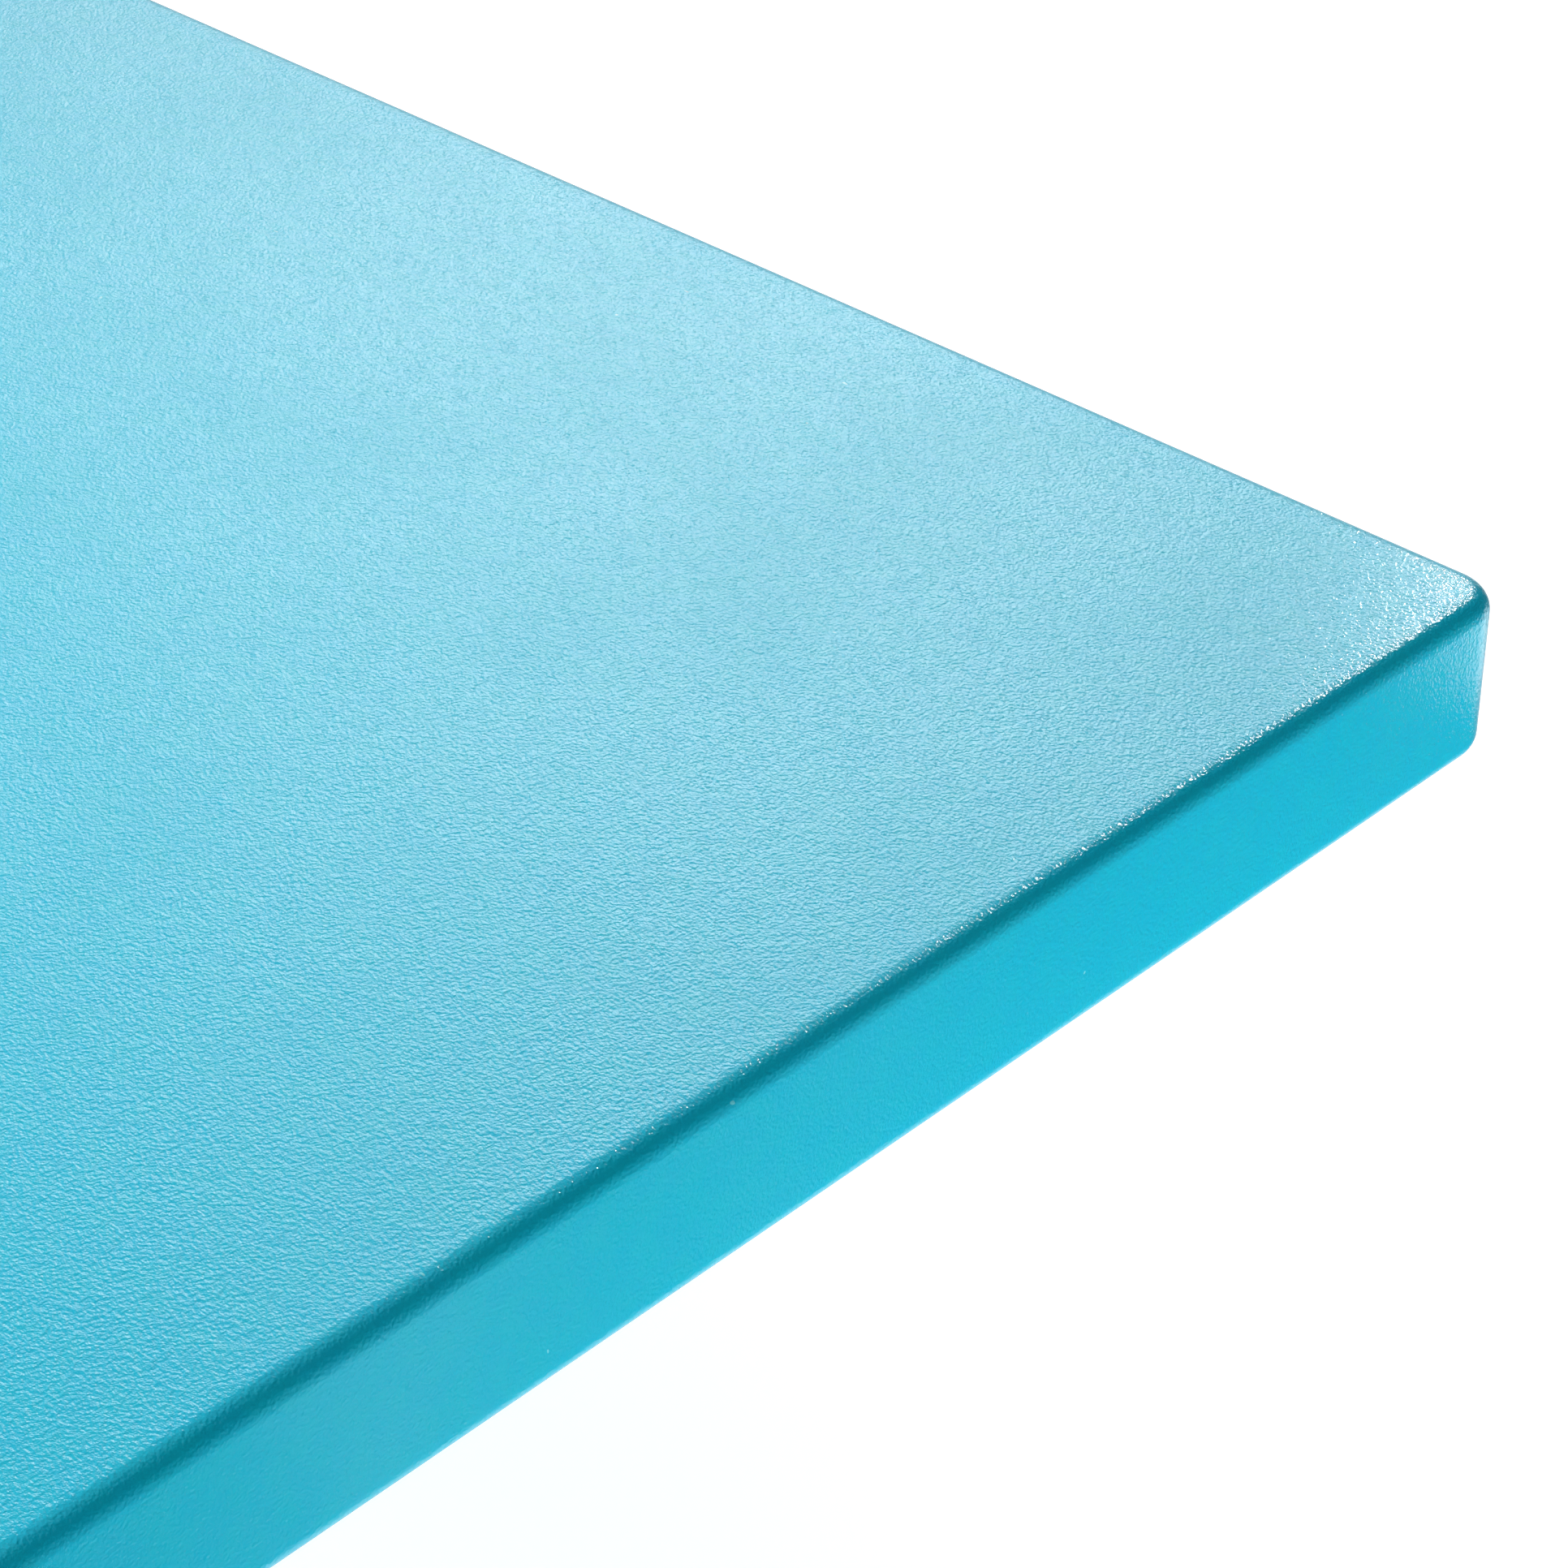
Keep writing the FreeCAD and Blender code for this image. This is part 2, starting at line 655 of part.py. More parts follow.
def make_board_supports():
    """Steel plate and rubber pad under the heel, and the same at the fulcrum."""
    heel_centre = f"({ARM_START} + sizes.heel_plate_length / 2)"
    supports = (
        ("heel", heel_centre, "sizes.heel_plate_length", f"(2 * {ARM_OUTER})"),
        ("fulcrum", "sizes.fulcrum_reach", "sizes.fulcrum_length", "sizes.fulcrum_width"),
    )
    for row, (label, centre, length, width) in enumerate(supports):
        holes = [(f"{x} - {centre}", y, BOLT_HOLE) for x, y in BOARD_BOLTS[2 * row:2 * row + 2]]
        steel = plate(f"{label}_plate", length, width, "sizes.plate_thickness", holes=holes)
        node(place(steel, centre, "0", PLATE_BOTTOM))
        rubber = plate(f"{label}_pad", length, width, "sizes.pad_thickness", holes=holes)
        node(place(rubber, centre, "0", f"{PLATE_BOTTOM} + sizes.plate_thickness"))


def make_spring_plate():
    """Plate welded under the arms that the springs push on."""
    hole = "sizes.guide_radius + sizes.guide_clearance"
    body = plate("spring_plate", "sizes.spring_plate_length", f"(2 * {ARM_OUTER})",
                 "sizes.plate_thickness",
                 holes=[("0", y, hole) for _, y in SPRING_PLACES])
    return node(place(body, "sizes.spring_reach", "0", SPRING_PLATE_BOTTOM))


# ---------------------------------------------------------------- pivot

def make_pivot():
    """Fixed shaft, the nylon bushes that turn on it, thrust washers and the shaft's nuts."""
    washer_end = f"({EAR_OUTER} + sizes.shaft_washer_thickness)"
    shaft_end = f"({washer_end} + sizes.shaft_nut_height + sizes.shaft_tail)"
    bore = "sizes.shaft_radius + sizes.bush_clearance"
    turns = [Z_TO_Y, Z_TO_MINUS_Y]

    def both_sides(name, source, distance):
        places = [(PIVOT_X, f"{sign}{distance}", PIVOT_HEIGHT) for sign in SIDES.values()]
        group(name, source, places, turns)

    shaft = new_body("pivot_shaft")
    section = new_sketch(shaft, "XZ_Plane")
    add_circle(section, "sizes.shaft_radius")
    extrude(shaft, section, f"2 * {shaft_end}", symmetric=True)
    node(place(shaft, PIVOT_X, "0", PIVOT_HEIGHT))

    bush = turned("pivot_bush", [
        (bore, "-sizes.bush_length"),
        ("sizes.bush_radius", "-sizes.bush_length"),
        ("sizes.bush_radius", "0"),
        ("sizes.bush_flange_radius", "0"),
        ("sizes.bush_flange_radius", "sizes.bush_flange_thickness"),
        (bore, "sizes.bush_flange_thickness"),
    ])
    both_sides("pivot_bushes", bush, HUB_END)

    thrust_start = f"({FLANGE_END} + sizes.thrust_clearance)"
    thrust = ring("thrust_washer", bore, "sizes.hub_radius", f"{EAR_INNER} - {thrust_start}")
    both_sides("thrust_washers", thrust, thrust_start)

    washer = ring("shaft_washer", bore, "sizes.shaft_washer_radius", "sizes.shaft_washer_thickness")
    both_sides("shaft_washers", washer, EAR_OUTER)

    nut = hex_nut("shaft_nut", "sizes.shaft_nut_flats", "sizes.shaft_radius",
                  "sizes.shaft_nut_height")
    both_sides("shaft_nuts", nut, washer_end)


# ---------------------------------------------------------------- springs, guides and stops

def make_springs():
    for (side, _), (x, y) in zip(SIDES.items(), SPRING_PLACES):
        body = new_body(f"coil_spring_{side}")
        wire = new_sketch(body, "XZ_Plane")
        add_circle(wire, "sizes.spring_wire_radius", "sizes.spring_mean_radius",
                   "sizes.spring_wire_radius")
        coil = body.newObject("PartDesign::AdditiveHelix", f"{body.Name}_coil")
        coil.Profile = wire
        coil.ReferenceAxis = (wire, ["V_Axis"])
        coil.Mode = 1
        coil.setExpression("Height", f"{SPRING_TOP} - {SPRING_BOTTOM} - 2 * sizes.spring_wire_radius")
        coil.setExpression("Turns", "sizes.spring_turns")
        pitch = f"({SPRING_TOP} - {SPRING_BOTTOM} - 2 * sizes.spring_wire_radius) / sizes.spring_turns"
        coil.setExpression("Pitch", pitch)
        doc.recompute()
        node(place(body, x, y, SPRING_BOTTOM))


def make_spring_seats():
    """Cups that centre the springs on the shelf and under the spring plate."""
    for name, bore, z, rotation in (
        ("lower_spring_seats", "sizes.lower_seat_bore", SHELF_TOP, FreeCAD.Rotation()),
        ("upper_spring_seats", "(sizes.guide_radius + sizes.guide_clearance)",
         SPRING_PLATE_BOTTOM, UPSIDE_DOWN),
    ):
        boss_top = "sizes.seat_thickness + sizes.seat_boss_height"
        seat = turned(f"{name}_cup", [
            (bore, "0"),
            ("sizes.seat_radius", "0"),
            ("sizes.seat_radius", "sizes.seat_thickness"),
            ("sizes.seat_boss_radius", "sizes.seat_thickness"),
            ("sizes.seat_boss_radius", boss_top),
            (bore, boss_top),
        ])
        group(name, seat, [(x, y, z) for x, y in SPRING_PLACES], [rotation] * len(SPRING_PLACES))


def make_guides():
    """Rods that hang from the spring plate through the shelf, with the stop that ends the rebound."""
    nuts_height = "2 * sizes.rebound_nut_height"
    length = f"({ARM_BOTTOM} - {REBOUND_WASHER_BOTTOM} + {nuts_height} + sizes.guide_tail)"
    rod = new_body("guide_rod")
    head = new_sketch(rod)
    add_hexagon(head, "sizes.guide_head_flats")
    extrude(rod, head, "sizes.guide_head_height")
    bevel_corners(rod, "sizes.guide_head_flats", "sizes.guide_head_height", "-")
    shank = new_sketch(rod)
    add_circle(shank, "sizes.guide_radius")
    extrude(rod, shank, length, reverse=True)
    group("guide_rods", rod, [(x, y, ARM_BOTTOM) for x, y in SPRING_PLACES])

    hole = "sizes.guide_radius + sizes.guide_clearance"
    pad = ring("rebound_pad", hole, "sizes.rebound_pad_radius", "sizes.rebound_pad_thickness")
    group("rebound_pads", pad, [(x, y, REBOUND_PAD_BOTTOM) for x, y in SPRING_PLACES])
    washer = ring("rebound_washer", hole, "sizes.rebound_pad_radius",
                  "sizes.rebound_washer_thickness")
    group("rebound_washers", washer, [(x, y, REBOUND_WASHER_BOTTOM) for x, y in SPRING_PLACES])
    nut = hex_nut("rebound_nut", "sizes.guide_head_flats", "sizes.guide_radius",
                  "sizes.rebound_nut_height")
    group("rebound_nuts", nut, [
        (x, y, f"{REBOUND_WASHER_BOTTOM} - {row} * sizes.rebound_nut_height")
        for x, y in SPRING_PLACES
        for row in (1, 2)
    ])


def make_bump_stop():
    """Rubber buffer that the spring plate meets at the end of the swing."""
    height = f"({LOWEST_PLATE} - sizes.bump_gap - {SHELF_TOP})"
    body = turned("bump_stop", [
        ("0", "0"),
        ("sizes.bump_base_radius", "0"),
        ("sizes.bump_base_radius", f"{height} / 3"),
        ("sizes.bump_top_radius", f"{height} / 2"),
        ("sizes.bump_top_radius", height),
        ("0", height),
    ])
    return node(place(body, "sizes.spring_reach", "0", SHELF_TOP))


# ---------------------------------------------------------------- deck stand

def make_side_hoop(side, sign):
    """Bent tube: rear leg, rail and front leg in one length."""
    body = new_body(f"side_hoop_{side}")
    reach = number(LEG_REACH)
    bend = number("sizes.bend_radius")
    rail = number("sizes.rail_height")
    foot = number(FOOT_TOP)
    path = new_sketch(body, "XZ_Plane")

    def line(x1, y1, x2, y2):
        return path.addGeometry(
            Part.LineSegment(FreeCAD.Vector(x1, y1, 0), FreeCAD.Vector(x2, y2, 0)))

    def bend_arc(x, start):
        circle = Part.Circle(FreeCAD.Vector(x, rail - bend, 0), FreeCAD.Vector(0, 0, 1), bend)
        return path.addGeometry(Part.ArcOfCircle(circle, start, start + QUARTER))

    rear_leg = line(-reach, foot, -reach, rail - bend)
    rear_bend = bend_arc(bend - reach, QUARTER)
    top_rail = line(bend - reach, rail, reach - bend, rail)
    front_bend = bend_arc(reach - bend, 0)
    front_leg = line(reach, rail - bend, reach, foot)
    joints = ((rear_leg, 2, rear_bend, 2), (rear_bend, 1, top_rail, 1),
              (top_rail, 2, front_bend, 2), (front_bend, 1, front_leg, 1))
    for first, first_end, second, second_end in joints:
        path.addConstraint(Sketcher.Constraint("Tangent", first, first_end, second, second_end))
    hold_point(path, rear_leg, 1, f"-{LEG_REACH}", FOOT_TOP)
    hold_point(path, front_leg, 2, LEG_REACH, FOOT_TOP)
    bend_height = "sizes.rail_height - sizes.bend_radius"
    hold_point(path, rear_bend, 3, f"sizes.bend_radius - {LEG_REACH}", bend_height)
    hold_point(path, front_bend, 3, f"{LEG_REACH} - sizes.bend_radius", bend_height)

    section = new_sketch(body, offset=FOOT_TOP)
    add_circle(section, "sizes.tube_radius", f"-{LEG_REACH}")
    add_circle(section, "sizes.tube_radius - sizes.tube_wall", f"-{LEG_REACH}")
    tube = body.newObject("PartDesign::AdditivePipe", f"{body.Name}_tube")
    tube.Profile = section
    tube.Spine = (path, [f"Edge{index}" for index in range(1, 6)])
    doc.recompute()
    return node(place(body, "0", f"{sign}sizes.leg_spread", "0"))


def make_feet():
    """Foot plates, each on a rubber gasket with the same two anchor holes."""
    holes = [("0", f"{sign}sizes.anchor_spread", "sizes.anchor_hole_radius")
             for sign in SIDES.values()]
    foot = plate("foot_plate", "sizes.foot_length", "sizes.foot_width", "sizes.foot_thickness",
                 corner="sizes.foot_corner", holes=holes)
    group("foot_plates", foot, [(x, y, "sizes.gasket_thickness") for x, y in FEET])
    gasket = plate("foot_gasket", "sizes.foot_length", "sizes.foot_width",
                   "sizes.gasket_thickness", corner="sizes.foot_corner", holes=holes)
    group("foot_gaskets", gasket, [(x, y, "0") for x, y in FEET])


def make_cross_tubes():
    """Tubes between the legs, their ends shaped to fit against them."""
    for name, sign in (("front_cross_tube", ""), ("rear_cross_tube", "-")):
        body = new_body(name)
        section = new_sketch(body, "XZ_Plane")
        add_circle(section, "sizes.cross_tube_radius")
        add_circle(section, "sizes.cross_tube_radius - sizes.cross_tube_wall")
        extrude(body, section, "2 * sizes.leg_spread", symmetric=True)
        ends = new_sketch(body)
        for side in SIDES.values():
            add_circle(ends, "sizes.tube_radius", "0", f"{side}sizes.leg_spread")
        cut_through(body, ends)
        node(place(body, f"{sign}{LEG_REACH}", "0", "sizes.cross_tube_height"))


def make_spring_shelf():
    """Plate across the rails, slotted for the guide rods."""
    body = new_body("spring_shelf")
    outline = new_sketch(body)
    add_rectangle(outline, "sizes.spring_plate_length",
                  "(2 * (sizes.leg_spread + sizes.shelf_margin))")
    extrude(body, outline, "sizes.plate_thickness")
    break_edges(body, "sizes.plate_thickness")
    slots = new_sketch(body)
    for _, y in SPRING_PLACES:
        add_slot(slots, "sizes.slot_length", "sizes.slot_width", "-sizes.slot_shift", y)
    cut_through(body, slots)
    return node(place(body, "sizes.spring_reach", "0", SHELF_BOTTOM))


def make_shelf_bars():
    """Bars on edge under the shelf, fitted against the rails."""
    for name, sign in (("shelf_bar_front", "+"), ("shelf_bar_rear", "-")):
        body = new_body(name)
        outline = new_sketch(body)
        add_rectangle(outline, "sizes.shelf_bar_thickness", "(2 * sizes.leg_spread)")
        extrude(body, outline, "sizes.shelf_bar_height")
        ends = new_sketch(body, "YZ_Plane")
        rail = "sizes.shelf_bar_height - sizes.tube_radius"
        for side in SIDES.values():
            add_circle(ends, "sizes.tube_radius", f"{side}sizes.leg_spread", rail)
        cut_through(body, ends)
        node(place(body, f"sizes.spring_reach {sign} sizes.shelf_bar_spread", "0",
                   f"{SHELF_BOTTOM} - sizes.shelf_bar_height"))


def make_pivot_ear(side, sign):
    """Upright plate on the rail that carries one end of the shaft."""
    body = new_body(f"pivot_ear_{side}")
    web = new_sketch(body, "XZ_Plane")
    add_polygon(web, [
        ("-sizes.ear_base / 2", "sizes.rail_height"),
        ("sizes.ear_base / 2", "sizes.rail_height"),
        ("sizes.ear_radius", PIVOT_HEIGHT),
        ("-sizes.ear_radius", PIVOT_HEIGHT),
    ])
    extrude(body, web, "sizes.ear_thickness", symmetric=True)
    head = new_sketch(body, "XZ_Plane")
    add_circle(head, "sizes.ear_radius", "0", PIVOT_HEIGHT)
    extrude(body, head, "sizes.ear_thickness", symmetric=True)
    face = number("sizes.ear_thickness") / 2
    round_edges(body, "sizes.edge_break",
                lambda edge: all(abs(abs(vertex.Y) - face) < 1e-6 for vertex in edge.Vertexes))
    bore = new_sketch(body, "XZ_Plane")
    add_circle(bore, "sizes.shaft_radius", "0", PIVOT_HEIGHT)
    cut_through(body, bore)
    saddle = new_sketch(body, "YZ_Plane")
    add_circle(saddle, "sizes.tube_radius", "0", "sizes.rail_height")
    cut_through(body, saddle)
    return node(place(body, PIVOT_X, f"{sign}sizes.leg_spread", "0"))


# ---------------------------------------------------------------- build and export

def build():
    fill_sheet()
    make_board_skin()
    make_underside_panel()
    make_laminates()
    make_core_stringers()
    make_board_bolts()
    for side, sign in SIDES.items():
        make_rocker_arm(side, sign)
        make_side_hoop(side, sign)
        make_pivot_ear(side, sign)
    make_arm_caps()
    make_hub_tube()
    make_rocker_brace()
    make_board_supports()
    make_spring_plate()
    make_pivot()
    make_springs()
    make_spring_seats()
    make_guides()
    make_bump_stop()
    make_feet()
    make_cross_tubes()
    make_spring_shelf()
    make_shelf_bars()
    doc.recompute()


def check():
    for item in doc.Objects:
        if "Invalid" in item.State or "Error" in item.State:
            raise RuntimeError(f"{item.Label} did not build: {item.State}")
    for item in nodes:
        if item.Shape.isNull() or not item.Shape.isValid() or not item.Shape.Solids:
            raise RuntimeError(f"{item.Label} has no valid solid")


def export():
    os.makedirs("parts", exist_ok=True)
    for item in nodes:
        item.Shape.exportStep(f"parts/{item.Label}.step")
        box = item.Shape.BoundBox
        print(f"{item.Label}: {len(item.Shape.Solids)} solids, {item.Shape.Volume / 1000:.1f} cm3, "
              f"z {box.ZMin:.1f} to {box.ZMax:.1f}")


build()
check()
export()
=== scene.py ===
# %% [markdown]
# # A diving board on its sprung deck stand
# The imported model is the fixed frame: every plate, tube, bolt and spring already has its place and size.
# This script adds what the eye wants. It gives the plank its moulded shell and its orange-peel gelcoat, and
# it gives the stand bent tubes, threads, wound springs, weld beads and satin steel. All sizes are in metres.

import json
import math

import bmesh
import bpy
from mathutils import Matrix, Vector

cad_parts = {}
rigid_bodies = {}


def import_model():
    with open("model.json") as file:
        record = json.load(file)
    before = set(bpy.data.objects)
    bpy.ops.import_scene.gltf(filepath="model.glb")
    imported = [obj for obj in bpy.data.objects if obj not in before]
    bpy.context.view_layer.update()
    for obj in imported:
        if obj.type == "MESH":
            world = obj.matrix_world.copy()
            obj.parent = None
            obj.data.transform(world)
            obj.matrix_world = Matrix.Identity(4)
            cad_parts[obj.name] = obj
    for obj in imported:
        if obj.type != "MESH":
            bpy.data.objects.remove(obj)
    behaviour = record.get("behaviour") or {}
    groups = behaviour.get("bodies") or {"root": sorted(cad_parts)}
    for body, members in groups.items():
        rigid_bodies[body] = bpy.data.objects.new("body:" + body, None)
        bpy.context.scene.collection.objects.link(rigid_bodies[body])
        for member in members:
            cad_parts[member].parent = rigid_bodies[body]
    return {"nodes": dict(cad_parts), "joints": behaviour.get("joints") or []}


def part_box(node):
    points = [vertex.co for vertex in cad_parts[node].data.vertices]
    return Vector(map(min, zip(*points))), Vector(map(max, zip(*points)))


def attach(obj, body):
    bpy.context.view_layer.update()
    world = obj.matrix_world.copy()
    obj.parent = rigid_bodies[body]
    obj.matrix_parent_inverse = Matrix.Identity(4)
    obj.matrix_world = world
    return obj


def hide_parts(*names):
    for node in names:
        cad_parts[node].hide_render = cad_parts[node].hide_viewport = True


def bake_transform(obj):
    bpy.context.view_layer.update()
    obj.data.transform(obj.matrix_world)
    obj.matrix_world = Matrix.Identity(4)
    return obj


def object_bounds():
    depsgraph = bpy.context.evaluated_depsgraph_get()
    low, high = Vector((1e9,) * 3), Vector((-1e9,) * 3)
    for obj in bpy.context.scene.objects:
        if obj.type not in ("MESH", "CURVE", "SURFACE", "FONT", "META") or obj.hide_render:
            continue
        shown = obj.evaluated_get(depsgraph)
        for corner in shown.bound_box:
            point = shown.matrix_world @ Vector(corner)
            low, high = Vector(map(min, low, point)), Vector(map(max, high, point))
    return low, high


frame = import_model()
cad_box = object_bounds()
scene = bpy.context.scene
STAND = frame["joints"][0]["parent"]
ROCKER = frame["joints"][0]["child"]
print("frame:", len(frame["nodes"]), "nodes on", STAND, "and", ROCKER)

# %% [markdown]
# ## Reading sizes from the frame
# A size that the frame already knows is read from a node's box, so the looks follow the design. A node often
# holds several equal round pieces, such as four washers. Their centres lie one radius inside the box.

# %% Boxes and centres of nodes
SIDES = ((1, "left"), (-1, "right"))


def middle_of(name):
    low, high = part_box(name)
    return (low + high) / 2


def centres_in(name, radius):
    """Centres, in plan, of the equal round pieces that make up a node."""
    low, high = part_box(name)
    across = sorted({round(low.x + radius, 5), round(high.x - radius, 5)})
    along = sorted({round(low.y + radius, 5), round(high.y - radius, 5)})
    return [(x, y) for x in across for y in along]


def at_level(centres, level):
    return [(x, y, level) for x, y in centres]


board_low, board_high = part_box("board_skin")
print("plank:", [round(value, 4) for value in board_high - board_low])

# %% [markdown]
# ## Helpers for every node tree
# Materials and Geometry Nodes are both trees of nodes. One helper adds a node, sets its properties, and
# fills its inputs: a plain number is stored on the socket, and another node's output is linked to it. An
# output is wrapped as a Value, so that a sum such as a * b + c adds its own Math nodes and still reads like
# arithmetic.

# %% Adding nodes


class Value:
    """What a node gives; a sum with it adds Math nodes to its tree."""

    def __init__(self, tree, socket):
        self.tree, self.socket = tree, socket

    def __add__(self, other):
        return calculate(self.tree, "ADD", self, other)

    def __sub__(self, other):
        return calculate(self.tree, "SUBTRACT", self, other)

    def __rsub__(self, other):
        return calculate(self.tree, "SUBTRACT", other, self)

    def __mul__(self, other):
        return calculate(self.tree, "MULTIPLY", self, other)

    def __truediv__(self, other):
        return calculate(self.tree, "DIVIDE", self, other)


def add(tree, kind, inputs=None, **properties):
    node = tree.nodes.new(kind)
    for key, value in properties.items():
        setattr(node, key, value)
    for key, value in (inputs or {}).items():
        if isinstance(value, Value):
            tree.links.new(value.socket, node.inputs[key])
        else:
            node.inputs[key].default_value = value
    return node


def made(tree, kind, inputs=None, output=0, **properties):
    """Adds a node and returns one of its outputs, the first unless another is named."""
    return Value(tree, add(tree, kind, inputs, **properties).outputs[output])


def calculate(tree, operation, first, second=0.0):
    return made(tree, "ShaderNodeMath", {0: first, 1: second}, operation=operation)


print("helpers: add, made, calculate")

# %% Working on values


def rescale(value, low, high, new_low=0.0, new_high=1.0, smooth=False):
    """Maps low..high to new_low..new_high, and holds the ends."""
    inputs = {"Value": value, "From Min": low, "From Max": high, "To Min": new_low, "To Max": new_high}
    kind = "SMOOTHSTEP" if smooth else "LINEAR"
    return made(value.tree, "ShaderNodeMapRange", inputs, interpolation_type=kind)


def split(vector):
    node = add(vector.tree, "ShaderNodeSeparateXYZ", {"Vector": vector})
    return [Value(vector.tree, node.outputs[axis]) for axis in "XYZ"]


def join(x, y, z):
    return made(x.tree, "ShaderNodeCombineXYZ", {"X": x, "Y": y, "Z": z})


print("helpers: rescale, split, join")

# %% [markdown]
# ## What all the finishes share
# No real finish is one flat colour. Every material starts from a Principled shader and reads the Object
# coordinates, which stay with the piece when it moves. Noise at the real scale then varies the colour,
# the gloss and the relief. In each finish below, the two numbers after a noise are the part of it that
# is used, and two more say what that part turns into.

# %% Helpers for materials


def new_material(name, colour, roughness, metallic=0.0):
    material = bpy.data.materials.new(name)
    material.use_nodes = True
    shader = material.node_tree.nodes["Principled BSDF"]
    for label, value in (("Base Color", (*colour, 1)), ("Roughness", roughness), ("Metallic", metallic)):
        shader.inputs[label].default_value = value
    return material, shader


def feed(shader, colour, roughness, normal):
    """Links what a finish works out to its shader."""
    for label, value in (("Base Color", colour), ("Roughness", roughness), ("Normal", normal)):
        value.tree.links.new(value.socket, shader.inputs[label])


def place_in_piece(material, stretch=(1, 1, 1)):
    place = made(material.node_tree, "ShaderNodeTexCoord", output="Object")
    return made(material.node_tree, "ShaderNodeMapping", {"Vector": place, "Scale": stretch})


def lumps(place, spacing, detail=2.0, roughness=0.5):
    """Noise with lumps about the given spacing apart, in metres."""
    inputs = {"Vector": place, "Scale": 1 / spacing, "Detail": detail, "Roughness": roughness}
    return made(place.tree, "ShaderNodeTexNoise", inputs, "Fac")


def blend_colours(amount, first, second):
    first, second = (end if isinstance(end, Value) else (*end, 1) for end in (first, second))
    inputs = {"Factor": amount, 6: first, 7: second}
    return made(amount.tree, "ShaderNodeMix", inputs, 2, data_type="RGBA")


def relief(height, depth, below=None):
    """Relief of a depth in metres; below is an earlier relief that it lies on."""
    inputs = {"Height": height, "Distance": depth}
    if below is not None:
        inputs["Normal"] = below
    return made(height.tree, "ShaderNodeBump", inputs, "Normal")


print("material helpers ready")

# %% [markdown]
# ## Gelcoat with an orange-peel surface
# The plank is sprayed with a coloured resin that dries into fine, even bumps about a millimetre apart, so
# that wet feet hold. The resin is glossy, so each bump catches the light. Two noises make the relief: the
# peel itself, and a slow swell left by the mould. A third mottles the colour, as pigment does, and a last
# one leaves a few pale specks of dust that set in the resin.

# %% Gelcoat
PEEL_SPACING = 0.0009
PEEL_DEPTH = 0.00021
SWELL_SPACING = 0.0045
SWELL_DEPTH = 0.00006
MOTTLE_SPACING = 0.007
SPECK_SPACING = 0.003
SCUFF_SPACING = 0.08
GELCOAT_BLUE = (0.0, 0.436, 0.618)
GELCOAT_GREEN = (0.0, 0.448, 0.606)
SPECK_COLOUR = (0.12, 0.62, 0.72)


def make_gelcoat():
    material, shader = new_material("gelcoat_orange_peel", GELCOAT_BLUE, 0.2)
    place = place_in_piece(material)
    mottle = rescale(lumps(place, MOTTLE_SPACING, 3.0), 0.4, 0.62)
    specks = rescale(lumps(place, SPECK_SPACING, 0.0), 0.895, 0.907)
    resin = blend_colours(mottle, GELCOAT_BLUE, GELCOAT_GREEN)
    scuffs = rescale(lumps(place, SCUFF_SPACING, 4.0), 0.42, 0.68, 0.15, 0.22)
    swell = relief(lumps(place, SWELL_SPACING, 1.0), SWELL_DEPTH)
    peel = relief(lumps(place, PEEL_SPACING, 1.0, 0.4), PEEL_DEPTH, swell)
    feed(shader, blend_colours(specks, resin, SPECK_COLOUR), scuffs, peel)
    return material


gelcoat = make_gelcoat()
print("gelcoat: bumps", PEEL_SPACING * 1000, "mm apart")

# %% [markdown]
# ## Stainless steel
# Tube and plate for wet decks is stainless steel, rubbed in one direction with an abrasive belt. The grain
# is noise stretched along that direction, so each piece names its own grain axis. Two slower noises add
# the cloudy look of handling, and the faint marks that dried pool water leaves.

# %% Satin steel
STEEL_LIGHT = (0.62, 0.63, 0.64)
STEEL_DARK = (0.47, 0.48, 0.5)
SATIN = 0.34
GRAIN_SPACING = 0.0011
GRAIN_STRETCH = 0.012
GRAIN_DEPTH = 0.00002
CLOUD_SPACING = 0.05
WATER_MARK_SPACING = 0.014


def finish_steel(shader, grain_place, place):
    grain = lumps(grain_place, GRAIN_SPACING, 4.0, 0.6)
    tone = grain * 0.6 + lumps(place, CLOUD_SPACING, 3.0) * 0.4
    colour = blend_colours(rescale(tone, 0.36, 0.62), STEEL_DARK, STEEL_LIGHT)
    water_marks = rescale(lumps(place, WATER_MARK_SPACING, 2.0), 0.6, 0.64, 0.0, 0.09)
    belt_gloss = rescale(grain, 0.3, 0.7, 0.27, 0.41)
    feed(shader, colour, belt_gloss + water_marks, relief(grain, GRAIN_DEPTH))


def make_satin_steel(axis):
    """Steel whose belt grain runs along axis 0 or 1 of the frame."""
    material, shader = new_material("satin_steel_" + "xyz"[axis], STEEL_LIGHT, SATIN, 1.0)
    stretch = [1.0, 1.0, 1.0]
    stretch[axis] = GRAIN_STRETCH
    finish_steel(shader, place_in_piece(material, stretch), place_in_piece(material))
    return material


steel_along_x, steel_along_y = make_satin_steel(0), make_satin_steel(1)
print("steel finishes:", steel_along_x.name, steel_along_y.name)

# %% [markdown]
# A bent tube has a grain that follows the bend, and no fixed axis can do that. The tube's own tree stores
# where each point lies along and around the tube, as an attribute, and this steel reads it.

# %% Steel for bent tubes
TUBE_PLACE = "place_on_tube"


def make_tube_steel():
    material, shader = new_material("satin_steel_tube", STEEL_LIGHT, SATIN, 1.0)
    tree = material.node_tree
    on_tube = made(tree, "ShaderNodeAttribute", output="Vector", attribute_name=TUBE_PLACE)
    grain_place = made(tree, "ShaderNodeMapping", {"Vector": on_tube, "Scale": (1, 1, GRAIN_STRETCH)})
    finish_steel(shader, grain_place, place_in_piece(material))
    return material


